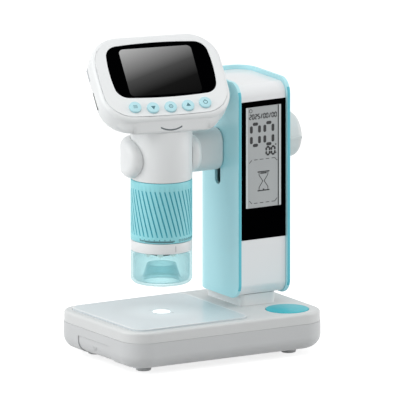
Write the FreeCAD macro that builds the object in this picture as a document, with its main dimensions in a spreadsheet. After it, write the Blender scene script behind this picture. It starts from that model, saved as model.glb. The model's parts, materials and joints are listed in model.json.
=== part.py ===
import FreeCAD, Part
import math
import os
import re
import Sketcher
from FreeCAD import Placement, Rotation, Vector

# Handheld digital microscope on a stand with a clock column.
# Z is up, X runs along the base towards the column, Y runs from the front to the back.
# The origin is on the desk, under the middle of the whole object.

driving = {
    # stand base
    "baseLength": 148, "baseWidth": 100, "baseCorner": 17, "baseTop": 28.8, "baseSeam": 21.6,
    "baseBottom": 4, "baseWall": 2.4, "baseLowerRound": 9, "baseUpperRound": 1.8, "seamStep": 0.3,
    "footX": 54.5, "footY": 30, "footRadius": 5, "footSeat": 1.2,
    "bossX": 64, "frontBossX": 18, "bossY": 37.5, "bossRadius": 3.5, "screwRadius": 1.3, "screwHeadRadius": 2.6,
    "screwHeadHeight": 2, "screwGrip": 4,
    # stage plate and its light
    "plateX": -24.4, "plateLength": 86, "plateWidth": 88.4, "plateThick": 2.4, "plateRaise": 1,
    "plateCorner": 9, "lightRadius": 5.5, "lightFlange": 0.7, "ledBoardSize": 20, "boardThick": 1.6,
    "ledSize": 3, "ledHeight": 1.1, "ledGap": 1.6,
    # base button
    "baseButtonX": 52.7, "baseButtonY": -31.5, "baseButtonRadius": 14, "baseButtonRise": 0.4,
    "baseButtonRound": 0.6, "baseButtonFlange": 1.2, "baseButtonTravel": 1.2, "stemRadius": 2.5,
    "baseBoardX": 39, "baseBoardY": -27, "baseBoardLength": 34, "baseBoardWidth": 30,
    "baseBoardTop": 16, "postInset": 3, "postRadius": 2.2, "switchSize": 6, "switchHeight": 3.5,
    # battery compartment at the left end
    "doorWidth": 39, "doorTop": 15.6, "doorLength": 53, "doorThick": 1.8, "doorRecess": 0.6,
    "cellRadius": 5.2, "cellLength": 44.4, "cellPitch": 11.4, "cellSetback": 6.9, "contactThick": 0.4,
    "contactRise": 2, "ribThick": 1.5,
    # pedestal and column
    "columnX": 43.8, "columnFront": -18, "columnWidth": 39.1, "columnDepth": 56.5,
    "columnBottom": 35, "columnTop": 177.4, "columnWall": 2.45, "columnBackRound": 15,
    "columnFrontRound": 10, "pedestalWidth": 27, "pedestalBack": 7.6,
    "pedestalDepth": 44, "pedestalRound": 4, "coreRecess": 1.8, "coreTopDrop": 2.7,
    "coreBottomRise": 1.2, "coreRound": 8, "coreWall": 2.4, "wireHoleLength": 22,
    "columnScrewX": 8, "columnScrewY": 16, "columnScrewRadius": 1.5,
    "windowBottom": 73.5, "windowTop": 164.5, "windowThick": 1.3,
    "lcdWidth": 26.3, "lcdTall": 66.5, "lcdX": 0.3, "lcdZ": 127.5, "lcdThick": 2.3,
    "clockBoardWidth": 31, "clockBoardTall": 76,
    # slot, slider, arm, clip and lock knob
    "slotBack": 26.7, "slotWidth": 6.4, "armZ": 134.7, "slotDrop": 24.4, "slotRise": 6,
    "studRadius": 2.8, "sliderDepth": 18, "sliderTall": 26, "sliderGap": 0.4,
    "armWidth": 17.4, "armDown": 17.6, "armUp": 9.9, "armRound": 1.6, "washerRadius": 7, "washerThick": 1,
    "knobRadius": 15, "knobReach": 17.4, "knobRound": 4.5, "knobRib": 1.6, "knobRibRise": 0.9,
    "clipWall": 6.5, "clipTall": 25, "clipLeft": 66.5, "clipRight": 60, "clipRound": 5.5, "clipZ": 132,
    "clipScrewRadius": 1.5, "clipScrewGrip": 9,
    # handheld unit, seen along its own tube axis
    "tubeX": -23.2, "tubeY": -0.3, "headYaw": 12.5, "tubeRadius": 20, "tubeWall": 2.4,
    "sleeveRadius": 17.6, "sleeveWall": 2.2, "sleeveBottom": 74.5, "sleeveFloor": 1.6,
    "ringTop": 117.9, "ringBottom": 78, "indexBottom": 71.3, "capBottom": 49.5,
    "headBottom": 151.8, "neckRise": 22,
    "ribBottom": 82.8, "ribTop": 112.3, "ribCount": 40, "ribDepth": 0.6, "ribLean": 15,
    "capWall": 1.7, "capRound": 4, "capMouth": 12, "capSpigot": 2.7,
    "carrierRadius": 7, "carrierBore": 4.6, "carrierBottom": 67.6, "carrierLength": 24.1,
    "lensThick": 3, "lensSeat": 1.4, "ledRingRadius": 11.4, "ledRadius": 1.9, "ledDome": 4.9,
    "ledCount": 8, "sensorZ": 99, "sensorSize": 8, "sensorThick": 1.5,
    # head, measured from the centre of its display on the face plane
    "faceBack": 3.6, "faceZ": 187.8, "faceTilt": 46, "headWidth": 88, "headUp": 29, "headDown": 37,
    "headThick": 25, "headCorner": 21, "headBackRound": 14.5, "headFrontRound": 3, "headWall": 2.2,
    "faceWidth": 83.6, "faceUp": 26.2, "faceDown": 34.4, "faceCorner": 18.4, "faceRise": 0.5,
    "bezelThick": 2.6, "glassX": 1.2, "glassY": 0.9,
    "glassWidth": 70.4, "glassHeight": 42.6, "glassBulgeX": 2, "glassBulgeY": 1.8, "glassCorner": 8.8,
    "glassThick": 2.3, "faceBulge": 1.4, "chinWidth": 79, "chinFront": 20.9, "chinBack": 12,
    "chinRound": 19, "chinSideRound": 18, "chinUnderRound": 2.2, "displayWidth": 60, "displayHeight": 43.4, "displayThick": 2.5,
    "headBoardBack": 9, "headBoardLeft": 41, "headBoardRight": 35, "headBoardUp": 17,
    "headBoardDown": 31, "headBoardRound": 15, "headPostX": 27, "headPostUp": 12, "headPostDown": 20,
    "headScrewRadius": 1, "headScrewHead": 2, "headScrewRise": 1.2, "headScrewGrip": 4.8,
    "packX": 2, "packY": -5, "packLength": 44, "packHeight": 32, "packThick": 5.4,
    "keyRadius": 3.75, "keyX": 0.5, "keyPitch": 11.9, "keyDown": 28.7, "keyEndRise": 1.5, "keyRise": 1.4,
    "keyFlange": 0.8, "keyStem": 1.5, "keyRound": 0.5, "keyTravel": 0.8, "keySwitch": 4.5, "keySwitchHeight": 2.5,
    "portUp": 8.1, "portLength": 9.4, "portHeight": 3.3, "portDepth": 7.4, "portInset": 0.4,
    "cardDown": 12.7, "cardLength": 13.6, "cardSlot": 1.2, "cardDepth": 10.6, "cardThick": 1.9, "cardInset": 0.6,
    "smileWidth": 14.6, "smileRadius": 14.3, "smileDepth": 0.55, "smileProud": 0.1, "smileZ": 153.8,
    # clearances
    "fitGap": 0.1, "seatGap": 0.2, "moveGap": 0.3, "shaftGap": 0.05,
}

doc = FreeCAD.newDocument("microscope")
sheet = doc.addObject("Spreadsheet::Sheet", "sizes")
for row, (alias, number) in enumerate(driving.items(), start=1):
    sheet.set(f"A{row}", alias)
    sheet.set(f"B{row}", str(number))
    sheet.setAlias(f"B{row}", alias)
doc.recompute()

# Levels and places worked out from the driving sizes, as expressions.
baseX = "((baseLength / 2 - columnX - columnWidth / 2 - knobReach) / 2)"
plateTop = "(baseTop + plateRaise)"
plateBottom = "(baseTop + plateRaise - plateThick)"
topInside = "(baseTop - baseWall)"
floorInside = "(baseBottom + baseWall)"
coreFront = "(columnFront + coreRecess)"
coreBottom = "(columnBottom + coreBottomRise)"
coreTop = "(columnTop - coreTopDrop)"
coreBack = "(columnFront + columnDepth - columnWall - seatGap)"
coreWidth = "(columnWidth - 2 * columnWall - 2 * seatGap)"
slotY = "(columnFront + slotBack)"
pedestalMiddle = "(columnFront + pedestalBack + pedestalDepth / 2)"
stageBoardTop = "(baseTop + plateRaise - plateThick - ledGap - ledHeight)"
cellStart = "(-baseLength / 2 + cellSetback)"
portTop = "(-headBoardBack - boardThick - fitGap)"

parts = []


def bound(text):
    """Point each alias in an expression at the sheet."""
    return re.sub(r"\b[a-zA-Z]+\b", lambda word: "sizes." + word[0] if word[0] in driving else word[0], text)


def size(alias):
    return float(sheet.get(alias))


def bind(item, **expressions):
    """Bind properties to expressions; x, y and z stand for the placement's base."""
    for name, text in expressions.items():
        path = "Placement.Base." + name if name in ("x", "y", "z") else name
        item.setExpression(path, bound(str(text)))
    return item


def frame(name, base, axis, angle, parent=None):
    """A named coordinate frame: a point, and a turn about an axis."""
    point = f"create(<<vector>>; {base[0]}; {base[1]}; {base[2]})"
    turn = f"create(<<rotation>>; create(<<vector>>; {axis[0]}; {axis[1]}; {axis[2]}); {angle})"
    text = f"create(<<placement>>; {point}; {turn})"
    item = doc.addObject("App::Placement", name)
    item.setExpression("Placement", bound(text if parent is None else f"{parent.Name}.Placement * {text}"))
    return item


stand = frame("standFrame", (baseX, 0, 0), (0, 0, 1), 0)
carriage = frame("carriageFrame", ("columnX", slotY, "armZ"), (0, 0, 1), 0, stand)
handheld = frame("handheldFrame", ("tubeX", "tubeY", 0), (0, 0, 1), "-headYaw", stand)
face = frame("faceFrame", (0, "faceBack", "faceZ"), (1, 0, 0), "90 - faceTilt", handheld)
clipFrame = frame("clipFrame", ("tubeX", "tubeY", "clipZ"), (0, 0, 1), 0, stand)
doc.recompute()


def keep(item, label):
    """Mark an object as a finished sub-part under its own label."""
    item.Label = label
    parts.append(item)
    return item


def newBody(name, place):
    body = doc.addObject("PartDesign::Body", name)
    body.setExpression("Placement", place.Name + ".Placement")
    return body


def solid(body, kind, name, **expressions):
    """An additive or subtractive PartDesign primitive with bound sizes."""
    return bind(body.newObject("PartDesign::" + kind, name), **expressions)


def block(body, kind, name, x, y, z):
    """A box primitive between two bounds along each axis."""
    return solid(body, kind + "Box", name,
                 Length=f"{x[1]} - ({x[0]})", Width=f"{y[1]} - ({y[0]})", Height=f"{z[1]} - ({z[0]})",
                 x=x[0], y=y[0], z=z[0])


def rod(body, kind, name, radius, x, y, z):
    """An upright cylinder primitive between two heights."""
    return solid(body, kind + "Cylinder", name, Radius=radius, Height=f"{z[1]} - ({z[0]})", x=x, y=y, z=z[0])


def crossRod(body, kind, name, radius, x, y, z):
    """A cylinder primitive lying along X between two bounds."""
    item = body.newObject("PartDesign::" + kind + "Cylinder", name)
    item.Placement = Placement(Vector(), Rotation(Vector(0, 1, 0), 90))
    return bind(item, Radius=radius, Height=f"{x[1]} - ({x[0]})", x=x[0], y=y, z=z)


def rounded(body, radius, chosen):
    """Fillet the edges of the body's tip that a test picks."""
    doc.recompute()
    base = body.Tip
    names = [f"Edge{number}" for number, edge in enumerate(base.Shape.Edges, start=1) if chosen(edge.BoundBox)]
    fillet = body.newObject("PartDesign::Fillet", "Round")
    fillet.Base = (base, names)
    return bind(fillet, Radius=radius)


def hollowed(body, wall, opened):
    """Shell the body inwards, open at the faces that a test picks."""
    doc.recompute()
    base = body.Tip
    names = [f"Face{number}" for number, side in enumerate(base.Shape.Faces, start=1) if opened(side.BoundBox)]
    shell = body.newObject("PartDesign::Thickness", "Shell")
    shell.Base = (base, names)
    shell.Reversed = True
    return bind(shell, Value=wall)


def flatAt(box, axis, level):
    """True where a bounding box lies flat at a level along an axis."""
    low, high = getattr(box, axis + "Min"), getattr(box, axis + "Max")
    return abs(low - level) < 0.01 and abs(high - level) < 0.01


def upright(box):
    return box.ZLength > 0.5 and box.XLength < 0.01 and box.YLength < 0.01


def localBox(body):
    """The bounds of the body's tip in the body's own coordinates."""
    doc.recompute()
    return body.Tip.Shape.BoundBox


def outline(body, name, plane, points):
    """A closed sketch of straight lines, each corner held by bound distances from the origin."""
    sketch = body.newObject("Sketcher::SketchObject", name)
    planes = {feature.Role: feature for feature in body.Origin.OriginFeatures}
    sketch.AttachmentSupport = [(planes[plane + "_Plane"], "")]
    sketch.MapMode = "FlatFace"
    count = len(points)
    start = [Vector(10 * math.cos(2 * math.pi * step / count), 10 * math.sin(2 * math.pi * step / count), 0)
             for step in range(count)]
    for step in range(count):
        sketch.addGeometry(Part.LineSegment(start[step], start[(step + 1) % count]), False)
    for step in range(count):
        sketch.addConstraint(Sketcher.Constraint("Coincident", step, 2, (step + 1) % count, 1))
    for step, place in enumerate(points):
        for kind, text, first in (("DistanceX", place[0], start[step].x), ("DistanceY", place[1], start[step].y)):
            held = sketch.addConstraint(Sketcher.Constraint(kind, -1, 1, step, 1, first))
            sketch.setExpression(f"Constraints[{held}]", bound(str(text)))
    return sketch


def turned(name, place, points, label=None):
    """A body of revolution about its own Z axis, from a profile of radius and height."""
    body = newBody(name, place)
    sketch = outline(body, name + "Profile", "XZ", points)
    turn = body.newObject("PartDesign::Revolution", name + "Turn")
    turn.Profile = sketch
    turn.ReferenceAxis = (sketch, ["V_Axis"])
    turn.Angle = 360
    return keep(body, label or name) if label is not False else body


def cylinder(name, place, radius, x, y, z, label=None):
    item = doc.addObject("Part::Cylinder", name)
    item.setExpression("Placement", bound(
        f"{place.Name}.Placement * create(<<placement>>; create(<<vector>>; {x}; {y}; {z[0]}); "
        "create(<<rotation>>; 0; 0; 0))"))
    bind(item, Radius=radius, Height=f"{z[1]} - ({z[0]})")
    return keep(item, label) if label else item


def cuboid(name, place, x, y, z, label=None):
    item = doc.addObject("Part::Box", name)
    item.setExpression("Placement", bound(
        f"{place.Name}.Placement * create(<<placement>>; create(<<vector>>; {x[0]}; {y[0]}; {z[0]}); "
        "create(<<rotation>>; 0; 0; 0))"))
    bind(item, Length=f"{x[1]} - ({x[0]})", Width=f"{y[1]} - ({y[0]})", Height=f"{z[1]} - ({z[0]})")
    return keep(item, label) if label else item


def centred(middle, length):
    return f"{middle} - ({length}) / 2", f"{middle} + ({length}) / 2"


def cutFrom(name, base, tool, label=None):
    item = doc.addObject("Part::Cut", name)
    item.Base, item.Tool = base, tool
    return keep(item, label) if label else item


def joined(name, shapes, label=None):
    item = doc.addObject("Part::MultiFuse", name)
    item.Shapes = shapes
    return keep(item, label) if label else item


def shared(name, base, tool, label=None):
    item = doc.addObject("Part::Common", name)
    item.Base, item.Tool = base, tool
    return keep(item, label) if label else item


def group(name, shapes, label):
    """Separate solids that share one node."""
    item = doc.addObject("Part::Compound", name)
    item.Links = shapes
    return keep(item, label)


def trayBlock(name, inset, bottom, top, lowerRound=None):
    """The base's rounded block between two heights, inset on all sides."""
    body = newBody(name, stand)
    block(body, "Additive", name + "Block", centred("0", f"baseLength - 2 * {inset}"),
          centred("0", f"baseWidth - 2 * {inset}"), (bottom, top))
    rounded(body, f"baseCorner - {inset}", upright)
    if lowerRound:
        low = localBox(body).ZMin
        rounded(body, lowerRound, lambda box: flatAt(box, "Z", low))
    return body


corners = [(sideX, sideY) for sideX in ("", "-") for sideY in ("", "-")]
headPosts = [(side, level) for side in ("", "-") for level in ("headPostUp", "-headPostDown")]
bosses = [("bossX", "bossY"), ("-bossX", "bossY"), ("-bossX", "-bossY"), ("frontBossX", "-bossY")]


def buildBaseBottom():
    body = trayBlock("bottomTray", "0", "baseBottom", "baseSeam - fitGap", "baseLowerRound")
    high = localBox(body).ZMax
    hollowed(body, "baseWall", lambda box: flatAt(box, "Z", high))
    for number, (x, y) in enumerate(bosses):
        rod(body, "Additive", f"boss{number}", "bossRadius", x, y, (floorInside, "baseSeam - fitGap"))
        rod(body, "Subtractive", f"bossHole{number}", "screwRadius + fitGap", x, y,
            ("baseBottom - 1", "baseSeam + 1"))
        rod(body, "Subtractive", f"bossSink{number}", "screwHeadRadius + fitGap", x, y,
            ("baseBottom - 1", "baseBottom + screwHeadHeight"))
    for number, (signX, signY) in enumerate(corners):
        rod(body, "Subtractive", f"footSeat{number}", "footRadius + fitGap", f"{signX}footX", f"{signY}footY",
            ("baseBottom - 1", "baseBottom + footSeat"))
        rod(body, "Additive", f"boardPost{number}", "postRadius",
            f"baseBoardX + ({signX}1) * (baseBoardLength / 2 - postInset)",
            f"baseBoardY + ({signY}1) * (baseBoardWidth / 2 - postInset)",
            (f"{floorInside} - fitGap", "baseBoardTop - boardThick"))
    ribX = "-baseLength / 2 + doorLength + moveGap"
    ribY = "(doorWidth / 2 + moveGap)"
    ribZ = (f"{floorInside} - fitGap", f"{floorInside} + 2 * cellRadius + contactRise")
    block(body, "Additive", "endRib", (ribX, ribX + " + ribThick"),
          (f"-{ribY} - ribThick", f"{ribY} + ribThick"), ribZ)
    for number, sign in enumerate(("", "-")):
        edges = (ribY, f"{ribY} + ribThick") if sign == "" else (f"-{ribY} - ribThick", f"-{ribY}")
        block(body, "Additive", f"sideRib{number}", ("-baseLength / 2 + 0.45 * baseLowerRound", ribX), edges, ribZ)
    block(body, "Subtractive", "doorCut", ("-baseLength / 2 - 1", ribX), (f"-{ribY}", ribY),
          ("baseBottom - 1", floorInside))
    block(body, "Subtractive", "doorEndCut", ("-baseLength / 2 - 1", "-baseLength / 2 + baseLowerRound"),
          (f"-{ribY}", ribY), ("baseBottom - 1", "doorTop + moveGap"))
    return keep(body, "base_bottom_shell")


def buildBatteryDoor():
    blank = trayBlock("doorBlank", "doorRecess", "baseBottom + doorRecess", "baseSeam",
                      "baseLowerRound - doorRecess")
    high = localBox(blank).ZMax
    hollowed(blank, "doorThick", lambda box: flatAt(box, "Z", high))
    window = cuboid("doorWindow", stand, ("-baseLength / 2", "-baseLength / 2 + doorLength"),
                    centred("0", "doorWidth"), ("baseBottom", "doorTop"))
    return shared("doorPanel", blank, window, "battery_door")


def buildBaseTop():
    body = trayBlock("topTray", "seamStep", "baseSeam", "baseTop")
    limits = localBox(body)
    hollowed(body, "baseWall", lambda box: flatAt(box, "Z", limits.ZMin))
    rounded(body, "baseUpperRound", lambda box: flatAt(box, "Z", limits.ZMax))
    for number, (x, y) in enumerate(bosses):
        rod(body, "Additive", f"topBoss{number}", "bossRadius", x, y, ("baseSeam", f"{topInside} + fitGap"))
        rod(body, "Subtractive", f"topBossHole{number}", "screwRadius + fitGap / 2", x, y,
            ("baseSeam - 1", "baseSeam + screwGrip + fitGap"))
    for number, sign in enumerate(("", "-")):
        rod(body, "Additive", f"ledPost{number}", "postRadius",
            f"tubeX + ({sign}1) * (ledBoardSize / 2 - postInset)",
            f"tubeY + ({sign}1) * (ledBoardSize / 2 - postInset)", (stageBoardTop, f"{topInside} + fitGap"))
    rod(body, "Subtractive", "lightHole", "lightRadius + lightFlange + seatGap", "tubeX", "tubeY",
        (f"{topInside} - 1", "baseTop + 1"))
    rod(body, "Subtractive", "buttonHole", "baseButtonRadius + moveGap", "baseButtonX", "baseButtonY",
        (f"{topInside} - 1", "baseTop + 1"))
    block(body, "Subtractive", "wireHole", centred("columnX", "pedestalWidth / 2"),
          centred(pedestalMiddle, "wireHoleLength"), (f"{topInside} - 1", "baseTop + 1"))
    for number, (signX, signY) in enumerate(corners):
        rod(body, "Subtractive", f"columnHole{number}", "columnScrewRadius + fitGap",
            f"columnX + ({signX}1) * columnScrewX", f"{pedestalMiddle} + ({signY}1) * columnScrewY",
            (f"{topInside} - 1", "baseTop + 1"))
    well = newBody("plateWell", stand)
    block(well, "Additive", "wellBlock", centred("plateX", "plateLength + 2 * seatGap"),
          centred("0", "plateWidth + 2 * seatGap"), (plateBottom, "baseTop + 1"))
    rounded(well, "plateCorner + seatGap", upright)
    return cutFrom("topShell", body, well, "base_top_shell")


def buildStage():
    plate = newBody("plate", stand)
    block(plate, "Additive", "plateBlock", centred("plateX", "plateLength"), centred("0", "plateWidth"),
          (plateBottom, plateTop))
    rounded(plate, "plateCorner", upright)
    high = localBox(plate).ZMax
    rounded(plate, "plateRaise / 2", lambda box: flatAt(box, "Z", high))
    rod(plate, "Subtractive", "plateHole", "lightRadius + fitGap", "tubeX", "tubeY",
        (f"{plateBottom} - 1", f"{plateTop} + 1"))
    keep(plate, "stage_plate")
    lightPlace = frame("lightFrame", ("tubeX", "tubeY", 0), (0, 0, 1), 0, stand)
    ledge = f"{plateBottom} - fitGap"
    turned("stageLight", lightPlace, [
        ("0", f"{ledge} - lightFlange"), ("lightRadius + lightFlange", f"{ledge} - lightFlange"),
        ("lightRadius + lightFlange", ledge), ("lightRadius", ledge), ("lightRadius", plateTop), ("0", plateTop)],
        "stage_light")
    top = stageBoardTop
    cuboid("stageBoard", stand, centred("tubeX", "ledBoardSize"), centred("tubeY", "ledBoardSize"),
           (f"{top} - boardThick", top), "stage_light_board")
    cuboid("stageLed", stand, centred("tubeX", "ledSize"), centred("tubeY", "ledSize"),
           (top, f"{top} + ledHeight"), "stage_light_led")


def buildBaseInside():
    cuboid("baseBoardSlab", stand, centred("baseBoardX", "baseBoardLength"),
           centred("baseBoardY", "baseBoardWidth"), ("baseBoardTop - boardThick", "baseBoardTop"), "base_board")
    cuboid("baseSwitch", stand, centred("baseButtonX", "switchSize"), centred("baseButtonY", "switchSize"),
           ("baseBoardTop", "baseBoardTop + switchHeight"), "base_button_switch")
    place = frame("baseButtonFrame", ("baseButtonX", "baseButtonY", 0), (0, 0, 1), 0, stand)
    flangeTop = f"({topInside} - moveGap)"
    buttonTop = "(baseTop + baseButtonRise)"
    flange = "(baseButtonRadius + baseButtonFlange)"
    stemEnd = "(baseBoardTop + switchHeight + baseButtonTravel + moveGap)"
    turned("baseButton", place, [
        ("0", stemEnd), ("stemRadius", stemEnd), ("stemRadius", f"{flangeTop} - baseButtonFlange"),
        (flange, f"{flangeTop} - baseButtonFlange"), (flange, flangeTop), ("baseButtonRadius", flangeTop),
        ("baseButtonRadius", f"{buttonTop} - baseButtonRound"), ("baseButtonRadius - baseButtonRound", buttonTop),
        ("0", buttonTop)], "base_button")
    cells = []
    for number in (-1, 0, 1):
        cell = doc.addObject("Part::Cylinder", f"cell{number + 1}")
        cell.setExpression("Placement", bound(
            f"{stand.Name}.Placement * create(<<placement>>; create(<<vector>>; {cellStart}; "
            f"{number} * cellPitch; {floorInside} + moveGap + cellRadius); "
            "create(<<rotation>>; create(<<vector>>; 0; 1; 0); 90))"))
        cells.append(bind(cell, Radius="cellRadius", Height="cellLength"))
    group("cells", cells, "battery_cells")
    left = f"({cellStart} - fitGap)"
    right = "(-baseLength / 2 + doorLength + moveGap - fitGap)"
    width = centred("0", "doorWidth")
    span = (f"{floorInside} + cellRadius", f"{floorInside} + 2 * cellRadius + contactRise")
    plates = [cuboid("contactLeft", stand, (f"{left} - contactThick", left), width, span),
              cuboid("contactRight", stand, (f"{right} - contactThick", right), width, span)]
    group("contacts", plates, "battery_contacts")


def buildFeetAndScrews():
    feet, screws = [], []
    for number, (signX, signY) in enumerate(corners):
        foot = cylinder(f"foot{number}", stand, "footRadius", f"{signX}footX", f"{signY}footY",
                        ("0", "baseBottom + footSeat"))
        feet.append(foot)
    for number, (x, y) in enumerate(bosses):
        head = cylinder(f"screwHead{number}", stand, "screwHeadRadius", x, y,
                        ("baseBottom + fitGap", "baseBottom + screwHeadHeight"))
        shank = cylinder(f"screwShank{number}", stand, "screwRadius", x, y,
                         ("baseBottom + screwHeadHeight / 2", "baseSeam + screwGrip"))
        screws.append(joined(f"baseScrew{number}", [head, shank]))
    group("feet", feet, "rubber_feet")
    group("screws", screws, "base_screws")


def buildPedestal():
    body = newBody("pedestalBody", stand)
    depth = ("columnFront + pedestalBack", "columnFront + pedestalBack + pedestalDepth")
    block(body, "Additive", "pedestalBlock", centred("columnX", "pedestalWidth"), depth, ("baseTop", coreBottom))
    rounded(body, "pedestalRound", upright)
    block(body, "Subtractive", "pedestalHole", centred("columnX", "pedestalWidth / 2"),
          centred(pedestalMiddle, "wireHoleLength"), ("baseTop - 1", f"{coreBottom} + 1"))
    screws = []
    for number, (signX, signY) in enumerate(corners):
        x, y = f"columnX + ({signX}1) * columnScrewX", f"{pedestalMiddle} + ({signY}1) * columnScrewY"
        rod(body, "Subtractive", f"pedestalScrew{number}", "columnScrewRadius + fitGap", x, y,
            ("baseTop - 1", f"{coreBottom} + 1"))
        head = cylinder(f"columnHead{number}", stand, "screwHeadRadius", x, y,
                        (f"{topInside} - screwHeadHeight", topInside))
        shank = cylinder(f"columnShank{number}", stand, "columnScrewRadius", x, y,
                         (f"{topInside} - screwHeadHeight / 2", f"{coreBottom} + coreWall + 2"))
        screws.append(joined(f"columnScrew{number}", [head, shank]))
    keep(body, "pedestal")
    group("columnScrews", screws, "column_screws")


def buildColumnShell():
    body = newBody("columnU", stand)
    block(body, "Additive", "columnBlock", centred("columnX", "columnWidth"),
          ("columnFront", "columnFront + columnDepth"), ("columnBottom", "columnTop"))
    back = localBox(body).YMax
    rounded(body, "columnBackRound", lambda box: upright(box) and abs(box.YMax - back) < 0.01)
    limits = localBox(body)
    hollowed(body, "columnWall", lambda box: flatAt(box, "Z", limits.ZMin) or flatAt(box, "Z", limits.ZMax)
             or flatAt(box, "Y", limits.YMin))
    rounded(body, "columnFrontRound", lambda box: flatAt(box, "Y", limits.YMin) and box.XLength > 1
            and box.ZLength < 0.01)
    slotLow = "armZ - slotDrop - studRadius - moveGap"
    slotHigh = "armZ + slotRise + studRadius + moveGap"
    through = centred("columnX", "columnWidth + 2")
    block(body, "Subtractive", "slotBlock", through, centred(slotY, "slotWidth"),
          (f"{slotLow} + slotWidth / 2", f"{slotHigh} - slotWidth / 2"))
    for number, level in enumerate((f"{slotLow} + slotWidth / 2", f"{slotHigh} - slotWidth / 2")):
        crossRod(body, "Subtractive", f"slotEnd{number}", "slotWidth / 2", through, slotY, level)
    return keep(body, "column_shell")


def buildColumnFront():
    body = newBody("columnCore", stand)
    lowIn, highIn = f"{coreBottom} + coreWall", f"{coreTop} - coreWall"
    frontIn = f"{coreFront} + coreWall"
    sketch = outline(body, "coreProfile", "YZ", [
        (coreFront, coreBottom), (coreBack, coreBottom), (coreBack, lowIn), (frontIn, lowIn),
        (frontIn, highIn), (coreBack, highIn), (coreBack, coreTop), (coreFront, coreTop)])
    bind(sketch, **{"AttachmentOffset.Base.z": "columnX"})
    pad = body.newObject("PartDesign::Pad", "corePad")
    pad.Profile = sketch
    pad.Midplane = True
    bind(pad, Length=coreWidth)
    limits = localBox(body)
    long = limits.XLength - 0.1
    rounded(body, "coreRound", lambda box: box.XLength > long and flatAt(box, "Y", limits.YMin))
    rounded(body, "coreRound - coreWall", lambda box: box.XLength > long and limits.YMin + 1 < box.YMin
            and box.YMax < limits.YMax - 1 and min(box.ZMin - limits.ZMin, limits.ZMax - box.ZMax) > 1)
    rounded(body, "columnBackRound - columnWall - seatGap",
            lambda box: upright(box) and flatAt(box, "Y", limits.YMax))
    block(body, "Subtractive", "windowSeat", centred("columnX", "columnWidth"),
          (f"{coreFront} - 1", f"{coreFront} + windowThick"), ("windowBottom - fitGap", "windowTop + fitGap"))
    block(body, "Subtractive", "lcdHole", centred("columnX + lcdX", "lcdWidth + 2 * seatGap"),
          (f"{coreFront} - 1", f"{frontIn} + 1"), centred("lcdZ", "lcdTall + 2 * seatGap"))
    block(body, "Subtractive", "coreWireHole", centred("columnX", "pedestalWidth / 2"),
          centred(pedestalMiddle, "wireHoleLength"), (f"{coreBottom} - 1", f"{lowIn} + 1"))
    for number, (signX, signY) in enumerate(corners):
        rod(body, "Subtractive", f"coreScrew{number}", "columnScrewRadius + shaftGap",
            f"columnX + ({signX}1) * columnScrewX", f"{pedestalMiddle} + ({signY}1) * columnScrewY",
            (f"{coreBottom} - 1", f"{lowIn} + 1"))
    return keep(body, "column_front")


def buildClock():
    frontFace = (coreFront, f"{coreFront} + windowThick - fitGap")
    pane = cuboid("windowPane", stand, centred("columnX", f"{coreWidth} - seatGap"), frontFace,
                  ("windowBottom", "windowTop"))
    hole = cuboid("windowHole", stand, centred("columnX + lcdX", "lcdWidth + 2 * fitGap"),
                  (f"{coreFront} - 1", f"{coreFront} + windowThick + 1"), centred("lcdZ", "lcdTall + 2 * fitGap"))
    cutFrom("clockWindow", pane, hole, "clock_window")
    cuboid("clockLcd", stand, centred("columnX + lcdX", "lcdWidth"),
           (f"{coreFront} + fitGap", f"{coreFront} + fitGap + lcdThick"), centred("lcdZ", "lcdTall"), "clock_lcd")
    boardFront = f"{coreFront} + coreWall + fitGap"
    cuboid("clockBoard", stand, centred("columnX", "clockBoardWidth"), (boardFront, f"{boardFront} + boardThick"),
           centred("lcdZ", "clockBoardTall"), "clock_board")


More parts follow.
